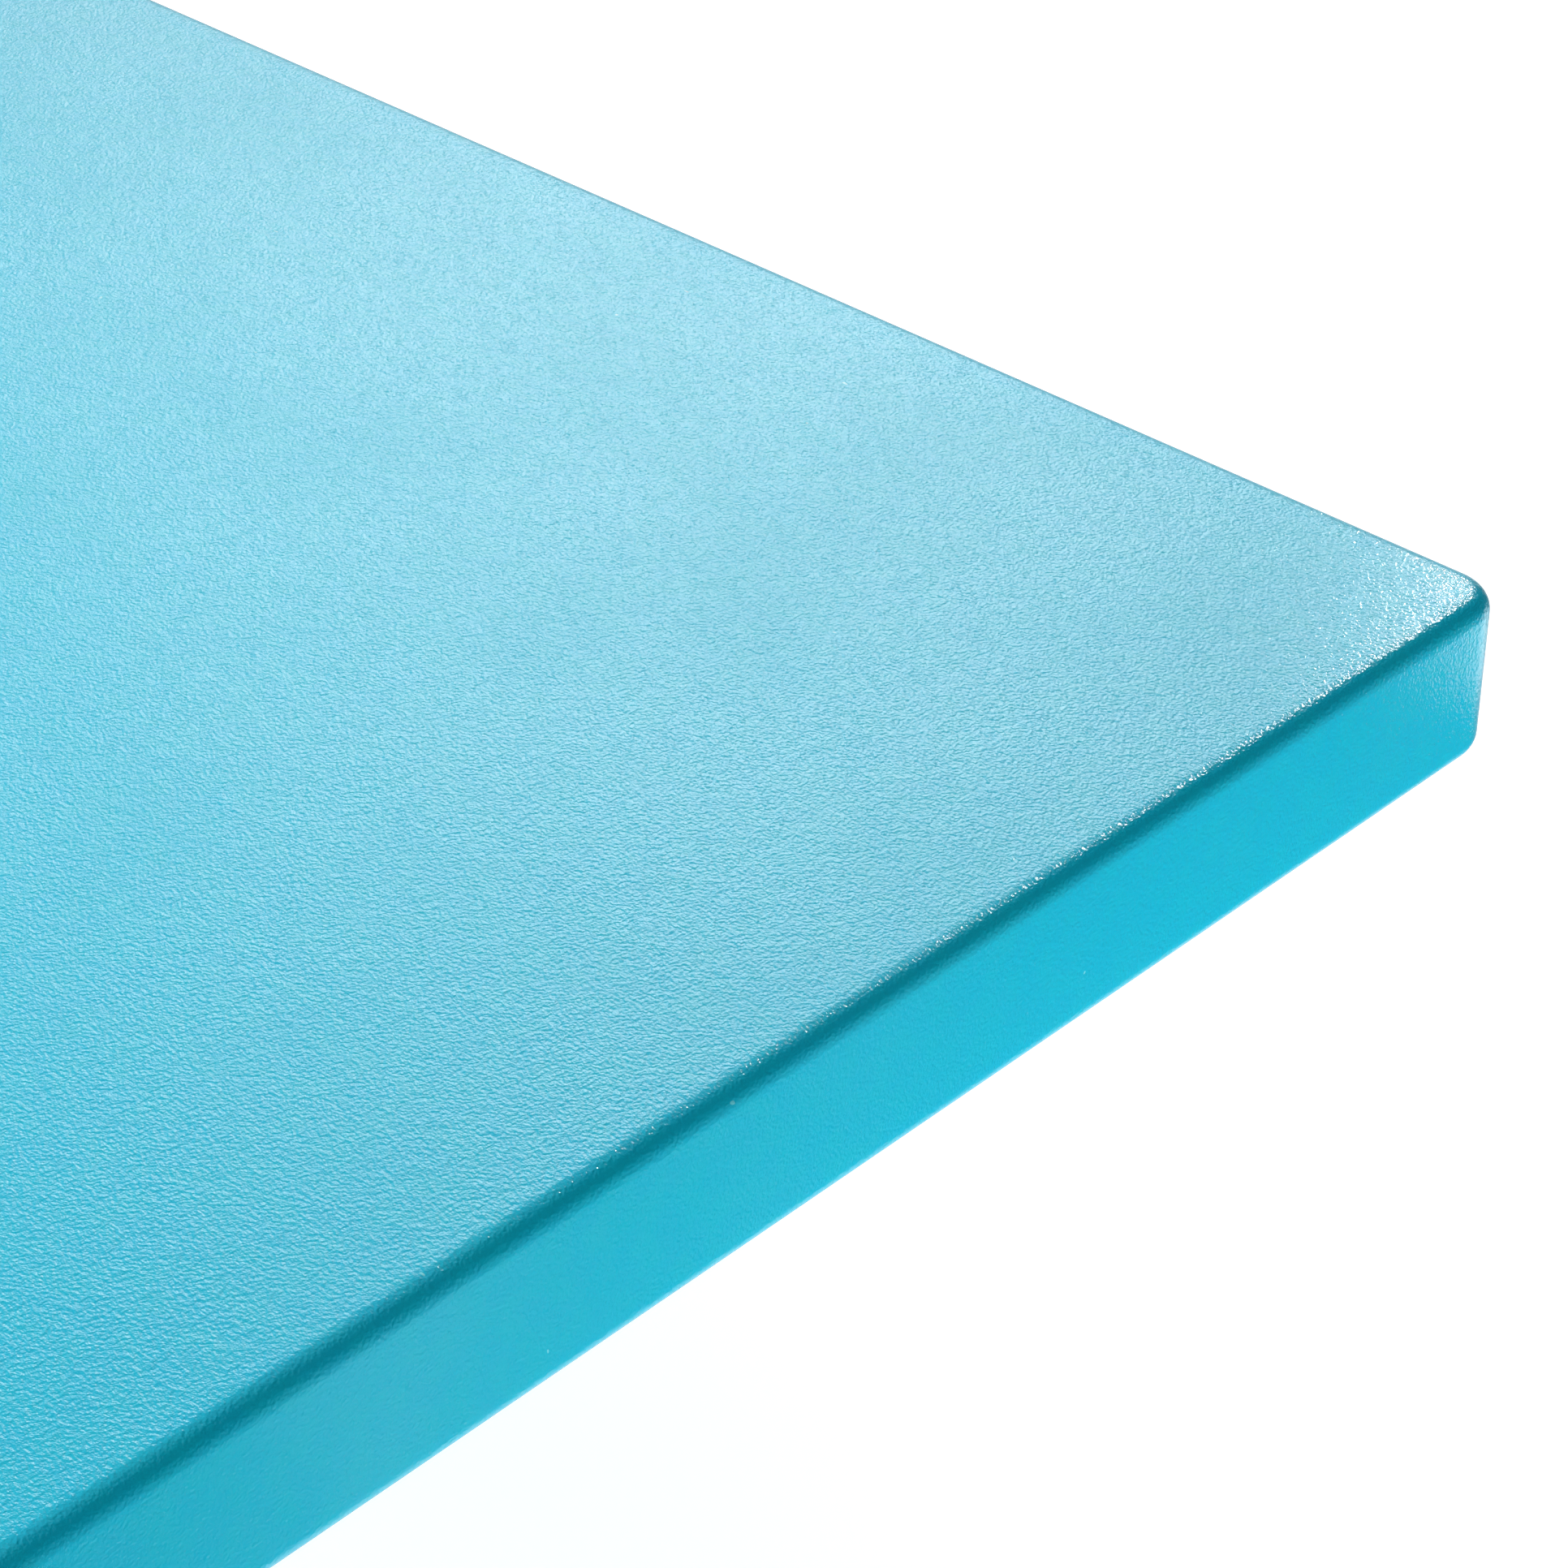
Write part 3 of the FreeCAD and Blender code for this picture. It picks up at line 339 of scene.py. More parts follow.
tube_steel = make_tube_steel()
print("tube finish reads", TUBE_PLACE)

# %% [markdown]
# ## The smaller finishes
# Fasteners are turned and plated brighter than the frame. A weld cools with straw and blue tints. The
# springs wear black powder coat, which dries with a fine texture of its own. Rubber goes chalky where it
# is rubbed, and nylon and plastic caps keep the matt grain of their moulds.

# %% Fasteners, welds and coating


def make_fastener_steel():
    material, shader = new_material("turned_steel", (0.68, 0.68, 0.67), 0.24, 1.0)
    place = place_in_piece(material)
    smudges = rescale(lumps(place, 0.006, 4.0), 0.35, 0.65)
    colour = blend_colours(smudges, (0.58, 0.58, 0.57), (0.72, 0.72, 0.71))
    gloss = rescale(smudges, 0.0, 1.0, 0.34, 0.18)
    feed(shader, colour, gloss, relief(lumps(place, 0.0008, 2.0), 0.00001))
    return material


def make_weld_steel():
    material, shader = new_material("weld_steel", (0.5, 0.47, 0.43), 0.4, 1.0)
    place = place_in_piece(material)
    heat = lumps(place, 0.012, 3.0)
    straw = blend_colours(rescale(heat, 0.4, 0.55), (0.52, 0.5, 0.47), (0.5, 0.4, 0.26))
    colour = blend_colours(rescale(heat, 0.56, 0.68), straw, (0.2, 0.23, 0.34))
    grit = lumps(place, 0.0009, 3.0)
    feed(shader, colour, rescale(grit, 0.3, 0.7, 0.28, 0.55), relief(grit, 0.00012))
    return material


def make_powder_coat():
    material, shader = new_material("black_powder_coat", (0.018, 0.019, 0.021), 0.38)
    place = place_in_piece(material)
    dust = rescale(lumps(place, 0.03, 5.0, 0.6), 0.5, 0.7)
    chips = rescale(lumps(place, 0.0065, 3.0), 0.735, 0.745)
    colour = blend_colours(dust, (0.016, 0.017, 0.019), (0.05, 0.05, 0.052))
    colour = blend_colours(chips, colour, (0.3, 0.29, 0.28))
    coat = relief(lumps(place, 0.0012, 1.5), 0.00012)
    feed(shader, colour, rescale(dust, 0.0, 1.0, 0.32, 0.55), relief(chips, -0.00015, coat))
    return material


fastener_steel = make_fastener_steel()
weld_steel = make_weld_steel()
powder_coat = make_powder_coat()
print("finishes:", fastener_steel.name, weld_steel.name, powder_coat.name)

# %% Rubber, nylon and plastic


def make_moulded(name, dark, light, matt, gloss, grain_spacing, grain_depth):
    """A moulded soft or hard plastic: clouds of colour, and the fine grain of the mould."""
    material, shader = new_material(name, dark, matt)
    place = place_in_piece(material)
    clouds = rescale(lumps(place, 0.02, 4.0, 0.6), 0.38, 0.68)
    grain = relief(lumps(place, grain_spacing, 3.0), grain_depth)
    feed(shader, blend_colours(clouds, dark, light), rescale(clouds, 0.0, 1.0, gloss, matt), grain)
    return material


rubber = make_moulded("black_rubber", (0.012, 0.012, 0.012), (0.04, 0.04, 0.041), 0.85, 0.62,
                      0.0009, 0.00012)
nylon = make_moulded("white_nylon", (0.66, 0.64, 0.58), (0.74, 0.73, 0.69), 0.5, 0.38, 0.0007, 0.00004)
cap_plastic = make_moulded("black_cap_plastic", (0.014, 0.015, 0.017), (0.03, 0.031, 0.034), 0.6, 0.42,
                           0.0006, 0.0001)
print("moulded finishes:", rubber.name, nylon.name, cap_plastic.name)

# %% [markdown]
# ## Inside and under the plank
# Below, the plank is closed by a flat panel of glass cloth in resin. The cloth shows as a crossed weave of
# rovings, made from two wave patterns at right angles. The core of glued wooden lengths and the glass
# laminates round it can't be seen, yet they have their grain too, for anyone who lifts the shell away.

# %% Glass cloth and wood
ROVING_SPACING = 0.0048
WAVES_PER_SCALE = 3.18


def bands(place, direction):
    """Wavy bands one roving apart; the wave pattern repeats several times in one unit of its scale."""
    inputs = {"Vector": place, "Scale": 1 / (ROVING_SPACING * WAVES_PER_SCALE), "Distortion": 0.35,
              "Detail": 1.0}
    return made(place.tree, "ShaderNodeTexWave", inputs, "Fac", bands_direction=direction)


def make_glass_cloth(name, dark, light, gloss):
    material, shader = new_material(name, dark, gloss)
    place = place_in_piece(material)
    cloth = calculate(place.tree, "MAXIMUM", bands(place, "X"), bands(place, "Y"))
    blotches = lumps(place, 0.04, 4.0)
    colour = blend_colours(rescale(cloth * 0.35 + blotches, 0.5, 0.95), dark, light)
    feed(shader, colour, rescale(blotches, 0.35, 0.65, gloss, gloss + 0.2), relief(cloth, 0.00025))
    return material


def make_core_wood():
    material, shader = new_material("core_fir", (0.5, 0.3, 0.15), 0.6)
    rings = lumps(place_in_piece(material, (0.05, 1, 1)), 0.006, 5.0, 0.6)
    colour = blend_colours(rescale(rings, 0.35, 0.65), (0.55, 0.36, 0.19), (0.36, 0.2, 0.09))
    feed(shader, colour, rescale(rings, 0.3, 0.7, 0.5, 0.75), relief(rings, 0.0003))
    return material


panel_cloth = make_glass_cloth("panel_glass_cloth", (0.02, 0.33, 0.43), (0.05, 0.42, 0.52), 0.3)
laminate_cloth = make_glass_cloth("laminate_glass_cloth", (0.5, 0.52, 0.42), (0.62, 0.64, 0.55), 0.35)
core_wood = make_core_wood()
print("cloth rovings", ROVING_SPACING * 1000, "mm apart")

# %% [markdown]
# ## Finishes for the frame's own nodes
# A node whose shape is right stays as it is and only takes a better material. The record names each node's
# material slot, so most follow from the slot. The steel pieces name the axis of their grain.

# %% Give the nodes their materials
SLOT_FINISH = {"board_shell": gelcoat, "panel": panel_cloth, "laminate": laminate_cloth,
               "core_wood": core_wood, "stand_steel": steel_along_y, "fastener_steel": fastener_steel,
               "spring_steel": powder_coat, "pad_rubber": rubber, "bush_nylon": nylon,
               "cap_plastic": cap_plastic}
GRAIN_X = ("rocker_arm_left", "rocker_arm_right", "foot_plates", "pivot_ear_left", "pivot_ear_right")

for name in frame["nodes"]:
    node_object = bpy.data.objects[name]
    record_slot = node_object.data.materials[0].name.split(".")[0]
    finish = steel_along_x if name in GRAIN_X else SLOT_FINISH[record_slot]
    for slot in node_object.material_slots:
        slot.material = finish
print("nodes with a finish:", len(frame["nodes"]))

# %% [markdown]
# ## Making and handing over a piece
# Most new pieces end the same way: each rides on a body, and the frame's nodes that it stands for are hidden.
# Seams are merged and faces turned outwards before a mesh becomes an object.

# %% Helpers for pieces


def mesh_piece(name, shape, material, sharp_above=35):
    """An object made from a bmesh, merged, facing outwards, and smooth below an angle."""
    bmesh.ops.remove_doubles(shape, verts=shape.verts, dist=1e-6)
    bmesh.ops.recalc_face_normals(shape, faces=shape.faces)
    mesh = bpy.data.meshes.new(name)
    shape.to_mesh(mesh)
    shape.free()
    mesh.materials.append(material)
    mesh.shade_smooth()
    mesh.set_sharp_from_angle(angle=math.radians(sharp_above))
    piece = bpy.data.objects.new(name, mesh)
    scene.collection.objects.link(piece)
    return piece


def hand_over(piece, body, slot, *nodes):
    if nodes:
        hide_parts(*nodes)
    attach(piece, body)
    print(piece.name, "has", len(piece.data.polygons), "faces and rides on", body)
    return piece


print("piece helpers ready")

# %% [markdown]
# ## Rings and skins
# Most shapes here are rings of vertices, one above the other, with a skin of faces between them. A ring of
# one vertex is a pole, and the faces that meet there are triangles.

# %% Rings and skins
ROUND_STEPS = 48


def turns(steps):
    """Angles in equal steps round a circle."""
    return [math.tau * step / steps for step in range(steps)]


def circle(centre, radius, steps):
    """Points of a level circle."""
    return [(centre[0] + radius * math.cos(angle), centre[1] + radius * math.sin(angle), centre[2])
            for angle in turns(steps)]


def new_ring(shape, points):
    return [shape.verts.new(point) for point in points]


def skin(shape, rings, capped=True):
    """Faces from each ring to the next, and over both ends if capped."""
    for lower, upper in zip(rings, rings[1:]):
        for index in range(max(len(lower), len(upper))):
            corners = [ring[step % len(ring)] for ring, step in ((lower, index), (lower, index + 1),
                                                                 (upper, index + 1), (upper, index))]
            shape.faces.new(tuple(dict.fromkeys(corners)))
    if capped:
        shape.faces.new(rings[0])
        shape.faces.new(rings[-1])


print("ring helpers ready")

# %% [markdown]
# ## The plank's shell
# The real shell is one moulding: a flat top, four sides, and a lip turned in underneath. It is made here as
# a section carried round the plan of the plank. Each point of the section says how far it lies inside the
# outline and how high it is, and the corners of the outline stay round at every depth. That gives true
# fillets, where a boolean or a bevel on such a long box would leave thin slivers.

# %% Rings round a rounded rectangle
SMALLEST_CORNER = 0.001
CORNER_STEPS = 20
ARC_STEPS = 14
FLAT_SUPPORT = 0.006


def plan_ring(shape, low, high, corner, inset, height):
    """A ring of vertices round a rounded rectangle, with extra ones where each flat side starts."""
    radius = max(corner - inset, SMALLEST_CORNER)
    middle = (low + high) / 2
    half_x = (high.x - low.x) / 2 - inset - radius
    half_y = (high.y - low.y) / 2 - inset - radius
    ring = []
    for turn, (side_x, side_y) in enumerate(((1, 1), (-1, 1), (-1, -1), (1, -1))):
        centre = (middle.x + side_x * half_x, middle.y + side_y * half_y)
        start = turn * math.pi / 2
        points = [(radius * math.cos(start + step / CORNER_STEPS * math.pi / 2),
                   radius * math.sin(start + step / CORNER_STEPS * math.pi / 2))
                  for step in range(CORNER_STEPS + 1)]
        before = (points[0][0] + FLAT_SUPPORT * math.sin(start),
                  points[0][1] - FLAT_SUPPORT * math.cos(start))
        after = (points[-1][0] - FLAT_SUPPORT * math.cos(start),
                 points[-1][1] - FLAT_SUPPORT * math.sin(start))
        ring += [(centre[0] + x, centre[1] + y, height) for x, y in [before] + points + [after]]
    return new_ring(shape, ring)


def plan_rings(shape, low, high, corner, section):
    return [plan_ring(shape, low, high, corner, inset, height) for inset, height in section]


def quarter(centre, radius, first, last):
    """Points of an arc, as (inset, height), between two angles in quarter turns."""
    return [(centre[0] + radius * math.cos(angle * math.pi / 2),
             centre[1] + radius * math.sin(angle * math.pi / 2))
            for angle in (first + (last - first) * step / ARC_STEPS for step in range(ARC_STEPS + 1))]


print("rings: up to", CORNER_STEPS, "steps in a corner")

# %% The shell's section
CORNER_RADIUS = 0.014
TOP_LIP = 0.006
BOTTOM_LIP = 0.007
SKIN_WALL = 0.004
SKIN_RETURN = 0.034
SUPPORT = 0.002
SHELL_SHARP = 40


def shell_section(bottom, top):
    """From the middle of the inside, out through the opening below, to the flat top."""
    inside = [(SKIN_WALL, top - SKIN_WALL), (SKIN_WALL, bottom + SKIN_WALL),
              (SKIN_RETURN, bottom + SKIN_WALL)]
    return (inside + [(SKIN_RETURN, bottom), (BOTTOM_LIP + SUPPORT, bottom)]
            + quarter((BOTTOM_LIP, bottom + BOTTOM_LIP), BOTTOM_LIP, 3, 2)
            + [(0.0, bottom + BOTTOM_LIP + SUPPORT), (0.0, top - TOP_LIP - SUPPORT)]
            + quarter((TOP_LIP, top - TOP_LIP), TOP_LIP, 2, 1)
            + [(TOP_LIP + SUPPORT, top)])


def make_shell():
    shape = bmesh.new()
    section = shell_section(board_low.z, board_high.z)
    skin(shape, plan_rings(shape, board_low, board_high, CORNER_RADIUS, section))
    return mesh_piece("plank_shell", shape, gelcoat, SHELL_SHARP)


shell = make_shell()
print("shell:", len(shell.data.polygons), "faces before the bolt holes are cut")

# %% [markdown]
# Four bolts go through the plank. Their holes are cut with a Boolean from thin turned plugs, and the
# modifier's result is taken as a plain mesh. The bolt centres come from the sleeves in the frame.

# %% Holes for the four bolts
SLEEVE_RADIUS = 0.01
BOLT_HOLE_RADIUS = 0.0065
PLUG_EXCESS = 0.005
bolt_centres = centres_in("bolt_sleeves", SLEEVE_RADIUS)


def apply_modifiers(piece):
    """Swaps a piece's mesh for its evaluated one, and drops the modifiers."""
    evaluated = piece.evaluated_get(bpy.context.evaluated_depsgraph_get())
    mesh = bpy.data.meshes.new_from_object(evaluated)
    piece.modifiers.clear()
    piece.data = mesh


def cut_holes(piece, centres, radius, low, high):
    shape = bmesh.new()
    for x, y in centres:
        skin(shape, [new_ring(shape, circle((x, y, z), radius, ROUND_STEPS)) for z in (low, high)])
    plugs = mesh_piece("plugs", shape, gelcoat)
    cutter = piece.modifiers.new("holes", "BOOLEAN")
    cutter.object = plugs
    cutter.solver = "EXACT"
    apply_modifiers(piece)
    piece.data.set_sharp_from_angle(angle=math.radians(SHELL_SHARP))
    bpy.data.objects.remove(plugs)


cut_holes(shell, bolt_centres, BOLT_HOLE_RADIUS, board_high.z - SKIN_WALL - PLUG_EXCESS,
          board_high.z + PLUG_EXCESS)
hand_over(shell, ROCKER, "board_shell", "board_skin")

# %% [markdown]
# ## Rubber pads under the plank
# The plank rests on two rubber pads, over the pivot plate and over the fulcrum. Moulded pads have ribs along
# their edges that let them bulge. The same rings make them: the section runs in and out between the ribs.

# %% Ribbed pads
PAD_CORNER = 0.004
PAD_ROUNDING = 0.0015
ROUNDED_SHARE = 8
RIB_DEPTH = 0.0012
RIB_STEPS = 24
PAD_RIBS = 3
RUBBER_SHARP = 50


def pad_section(bottom, top):
    """A bulged edge with ribs, from the underside to the top."""
    section = [(PAD_ROUNDING * 2, bottom), (PAD_ROUNDING, bottom)]
    for step in range(RIB_STEPS + 1):
        share = step / RIB_STEPS
        rounding = PAD_ROUNDING * (1 - min(1, ROUNDED_SHARE * share * (1 - share)))
        groove = RIB_DEPTH * (0.5 + 0.5 * math.cos(math.tau * PAD_RIBS * share)) * (rounding == 0)
        section.append((max(rounding, groove), bottom + (top - bottom) * share))
    return section + [(PAD_ROUNDING, top), (PAD_ROUNDING * 2, top)]


for node in ("heel_pad", "fulcrum_pad"):
    low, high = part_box(node)
    shape = bmesh.new()
    skin(shape, plan_rings(shape, low, high, PAD_CORNER, pad_section(low.z, high.z)))
    hand_over(mesh_piece(node + "_ribbed", shape, rubber, RUBBER_SHARP), ROCKER, "pad_rubber", node)

# %% [markdown]
# ## Softened rubber
# The thin gaskets under the feet and the rebound pads have the right outline, holes included. A merged
# copy of the node keeps all of it, and a small bevel rounds the cut edges as rubber shows them.

# %% Gaskets and rebound pads
GASKET_ROUNDING = 0.0009
PAD_EDGE_ROUNDING = 0.0018
MERGE_WITHIN = 1e-5
FLAT_WITHIN = math.radians(0.5)
EDGE_ABOVE = math.radians(60)


def soften(node, rounding):
    shape = bmesh.new()
    shape.from_mesh(bpy.data.objects[node].data)
    bmesh.ops.remove_doubles(shape, verts=shape.verts, dist=MERGE_WITHIN)
    bmesh.ops.dissolve_limit(shape, angle_limit=FLAT_WITHIN, verts=shape.verts, edges=shape.edges)
    edges = [edge for edge in shape.edges
             if len(edge.link_faces) == 2 and edge.calc_face_angle() > EDGE_ABOVE]
    bmesh.ops.bevel(shape, geom=edges, offset=rounding, segments=3, profile=0.5, affect="EDGES",
                    clamp_overlap=True)
    return mesh_piece(node + "_soft", shape, rubber, RUBBER_SHARP)


hand_over(soften("foot_gaskets", GASKET_ROUNDING), STAND, "pad_rubber", "foot_gaskets")
hand_over(soften("rebound_pads", PAD_EDGE_ROUNDING), ROCKER, "pad_rubber", "rebound_pads")

# %% [markdown]
# ## Turned pieces
# A lathe turns a profile round an axis. Here the profile is a list of (radius, height) points, and each
# point becomes a ring, or a single pole where its radius is nothing. The rubber bump stop between the
# springs is such a piece: a foot, three rolls that squeeze together, and a soft nose.

# %% Lathe


def lathe(profile):
    """A bmesh turned about Z from (radius, height) points."""
    shape = bmesh.new()
    skin(shape, [new_ring(shape, circle((0, 0, height), radius, ROUND_STEPS if radius else 1))
                 for radius, height in profile], capped=False)
    return shape


print("lathe:", ROUND_STEPS, "steps round")

# %% Bump stop
ROLLS = 3
ROLL_DEPTH = 0.0028
ROLL_STEPS = 54
FOOT_EDGE = 0.003
NOSE_RADIUS = 0.008
TOP_SHARE = 22 / 30


def make_bump_stop():
    low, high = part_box("bump_stop")
    height = high.z - low.z
    wide = (high.x - low.x) / 2
    narrow = wide * TOP_SHARE
    profile = [(0, 0), (wide, 0)]
    for step in range(ROLL_STEPS + 1):
        share = step / ROLL_STEPS
        level = FOOT_EDGE + share * (height - NOSE_RADIUS - FOOT_EDGE)
        body = wide + (narrow - wide) * level / height
        groove = ROLL_DEPTH * (0.5 - 0.5 * math.cos(math.tau * ROLLS * share)) ** 3
        profile.append((body - groove, level))
    for step in range(1, ARC_STEPS + 1):
        angle = step / ARC_STEPS * math.pi / 2
        profile.append((narrow - NOSE_RADIUS * (1 - math.cos(angle)),
                        height - NOSE_RADIUS + NOSE_RADIUS * math.sin(angle)))
    shape = lathe(profile + [(0, height)])
    bmesh.ops.translate(shape, vec=(*middle_of("bump_stop").xy, low.z), verts=shape.verts)
    return mesh_piece("bump_stop_rolled", shape, rubber, RUBBER_SHARP)


hand_over(make_bump_stop(), STAND, "pad_rubber", "bump_stop")

# %% [markdown]
# ## Geometry Nodes: the common start
# What repeats or follows a path is made by Geometry Nodes. A tree is built in code with named inputs, a
# carrier mesh gives it points or edges to work on, and the evaluated result is kept as a plain mesh. The
# inputs are set by their identifiers, because a modifier doesn't know them by name.

# %% Building a tree
INPUT_KINDS = {float: "NodeSocketFloat", int: "NodeSocketInt", tuple: "NodeSocketVector",
               bpy.types.Object: "NodeSocketObject", bpy.types.Material: "NodeSocketMaterial"}


def floats(*labels):
    return dict.fromkeys(labels, float)


def new_tree(name, inputs):
    """A Geometry Nodes tree with named inputs; returns it and the values they give."""
    tree = bpy.data.node_groups.new(name, "GeometryNodeTree")
    tree.interface.new_socket("Geometry", in_out="INPUT", socket_type="NodeSocketGeometry")
    for label, kind in {**inputs, "Material": bpy.types.Material}.items():
        tree.interface.new_socket(label, in_out="INPUT", socket_type=INPUT_KINDS[kind])
    tree.interface.new_socket("Geometry", in_out="OUTPUT", socket_type="NodeSocketGeometry")
    return tree, {socket.name: Value(tree, socket) for socket in add(tree, "NodeGroupInput").outputs}


def end_tree(geometry, given):
    """Realizes the instances, sets the material, and closes the tree."""
    tree = geometry.tree
    real = made(tree, "GeometryNodeRealizeInstances", {"Geometry": geometry})
    painted = made(tree, "GeometryNodeSetMaterial", {"Geometry": real, "Material": given["Material"]})
    add(tree, "NodeGroupOutput", {0: painted})
    print("tree:", tree.name, len(tree.nodes), "nodes")
    return tree


# %% Running a tree


def carrier_mesh(name, paths):
    """A mesh of loose points, or of edges along each (points, closed) path."""
    mesh = bpy.data.meshes.new(name)
    points, edges = [], []
    for path, closed in paths:
        first = len(points)
        points += [tuple(point) for point in path]
        edges += [(first + index, first + index + 1) for index in range(len(path) - 1)]
        if closed:
            edges.append((first + len(path) - 1, first))
    mesh.from_pydata(points, edges, [])
    carrier = bpy.data.objects.new(name, mesh)
    scene.collection.objects.link(carrier)
    return carrier


def run_tree(name, tree, paths, material, values, sharp_above=35):
    """Runs a tree on a carrier and leaves its result as a plain mesh piece."""
    piece = carrier_mesh(name, paths)
    modifier = piece.modifiers.new(tree.name, "NODES")
    modifier.node_group = tree
    identifiers = {item.name: item.identifier for item in tree.interface.items_tree
                   if item.in_out == "INPUT"}
    for label, value in {**values, "Material": material}.items():
        modifier[identifiers[label]] = value
    apply_modifiers(piece)
    piece.data.shade_smooth()
    piece.data.set_sharp_from_angle(angle=math.radians(sharp_above))
    return piece


def loose_points(points):
    return [([point], False) for point in points]


print("tree helpers ready")

# %% Steps that the trees share


def position(tree):
    return made(tree, "GeometryNodeInputPosition")


def moved(geometry, x, y, z):
    inputs = {"Geometry": geometry, "Position": join(x, y, z)}
    return made(geometry.tree, "GeometryNodeSetPosition", inputs)


def round_profile(tree, radius, steps):
    return made(tree, "GeometryNodeCurvePrimitiveCircle", {"Resolution": steps, "Radius": radius})


def sweep(curve, profile, **more):
    """Carries a profile along a curve and closes the ends."""
    inputs = {"Curve": curve, "Profile Curve": profile, "Fill Caps": True, **more}
    return made(curve.tree, "GeometryNodeCurveToMesh", inputs)


def on_points(given, instance, **more):
    inputs = {"Points": given["Geometry"], "Instance": instance, **more}
    return made(instance.tree, "GeometryNodeInstanceOnPoints", inputs)


print("tree steps: moved, sweep, on_points")

# %% [markdown]
# ## Bent-tube hoops
# Each side of the stand is one tube, bent twice on a round former so that it stands on two legs. The tree
# fillets the corners of a plain path, sweeps a circle along it, and stores for each point how far along and
# how far around the tube it lies, so that the belt grain of the steel can follow the bends.

# %% Tree for a bent tube


def captured(geometry, kind, label, value):
    """Keeps a value on the points of a curve; returns the curve and the kept value."""
    node = add(geometry.tree, "GeometryNodeCaptureAttribute", {"Geometry": geometry}, domain="POINT")
    node.capture_items.new(kind, label)
    geometry.tree.links.new(value.socket, node.inputs[label])
    return Value(geometry.tree, node.outputs["Geometry"]), Value(geometry.tree, node.outputs[label])


def build_tube_tree():
    tree, given = new_tree("bent_tube", {**floats("Tube Radius", "Bend Radius"), "Bend Steps": int,
                                         "Steps Round": int})
    path = made(tree, "GeometryNodeMeshToCurve", {"Mesh": given["Geometry"]})
    bend = {"Curve": path, "Radius": given["Bend Radius"], "Count": given["Bend Steps"]}
    bent = made(tree, "GeometryNodeFilletCurve", bend, mode="POLY")
    bent, along = captured(bent, "FLOAT", "along",
                           made(tree, "GeometryNodeSplineParameter", output="Length"))
    profile = round_profile(tree, given["Tube Radius"], given["Steps Round"])
    profile, around = captured(profile, "VECTOR", "around", position(tree))
    swept = sweep(bent, profile)
    x, y, _ = split(around)
    store = {"Geometry": swept, "Name": TUBE_PLACE, "Value": join(x, y, along)}
    stored = made(tree, "GeometryNodeStoreNamedAttribute", store, data_type="FLOAT_VECTOR",
                  domain="POINT")
    return end_tree(stored, given)


tube_tree = build_tube_tree()

# %% The two hoops
TUBE_RADIUS = 0.02415
BEND_RADIUS = 0.08
hoop_low, hoop_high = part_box("side_hoop_left")
leg_reach = hoop_high.x - TUBE_RADIUS
rail_height = hoop_high.z - TUBE_RADIUS
rail_side = (hoop_low.y + hoop_high.y) / 2

for side, label in SIDES:
    path = [(x, side * rail_side, z) for x, z in ((-leg_reach, hoop_low.z), (-leg_reach, rail_height),
                                                  (leg_reach, rail_height), (leg_reach, hoop_low.z))]
    hoop = run_tree("bent_hoop_" + label, tube_tree, [(path, False)], tube_steel,
                    {"Tube Radius": TUBE_RADIUS, "Bend Radius": BEND_RADIUS, "Bend Steps": 24,
                     "Steps Round": 64})
    hand_over(hoop, STAND, "stand_steel", "side_hoop_" + label)

# %% [markdown]
# ## Coil springs
# A compression spring has open coils in the middle and a closed coil at each end, ground flat so that it
# sits square. The tree bends a line into a helix whose rise is slow, fast, then slow again, sweeps the round
# wire along it, and presses the ends flat between two levels.

# %% Tree for a ground spring
CLOSED_RISE = 2.05  # in wire radii, so a closed coil rises just over the wire's diameter


def build_spring_tree():
    tree, given = new_tree("ground_spring", {
        **floats("Coil Radius", "Wire Radius", "Turns", "Closed Turns", "Height", "Hand"),
        "Steps": int, "Steps Round": int})
    line = made(tree, "GeometryNodeCurvePrimitiveLine", {"End": (0, 0, 1)})
    line = made(tree, "GeometryNodeResampleCurve", {"Curve": line, "Count": given["Steps"]})
    share = made(tree, "GeometryNodeSplineParameter", output="Factor")
    turn = share * (given["Turns"] * math.tau) * given["Hand"]
    closed = given["Closed Turns"] / given["Turns"]
    end_rise = given["Wire Radius"] * CLOSED_RISE
    first = rescale(share, 0.0, closed, 0.0, end_rise)
    middle = rescale(share, closed, 1.0 - closed, 0.0, given["Height"] - end_rise * 2.0)
    last = rescale(share, 1.0 - closed, 1.0, 0.0, end_rise)
    x, y = (given["Coil Radius"] * calculate(tree, wave, turn) for wave in ("COSINE", "SINE"))
    helix = moved(line, x, y, first + middle + last)
    wire = sweep(helix, round_profile(tree, given["Wire Radius"], given["Steps Round"]))
    x, y, z = split(position(tree))
    level = calculate(tree, "MINIMUM", calculate(tree, "MAXIMUM", z, 0.0), given["Height"])
    return end_tree(on_points(given, moved(wire, x, y, level)), given)


spring_tree = build_spring_tree()

# %% The two springs
WIRE_RADIUS = 0.006
SPRING_TURNS = 7.5
CLOSED_TURNS = 0.85
SPRING_SHARP = 60

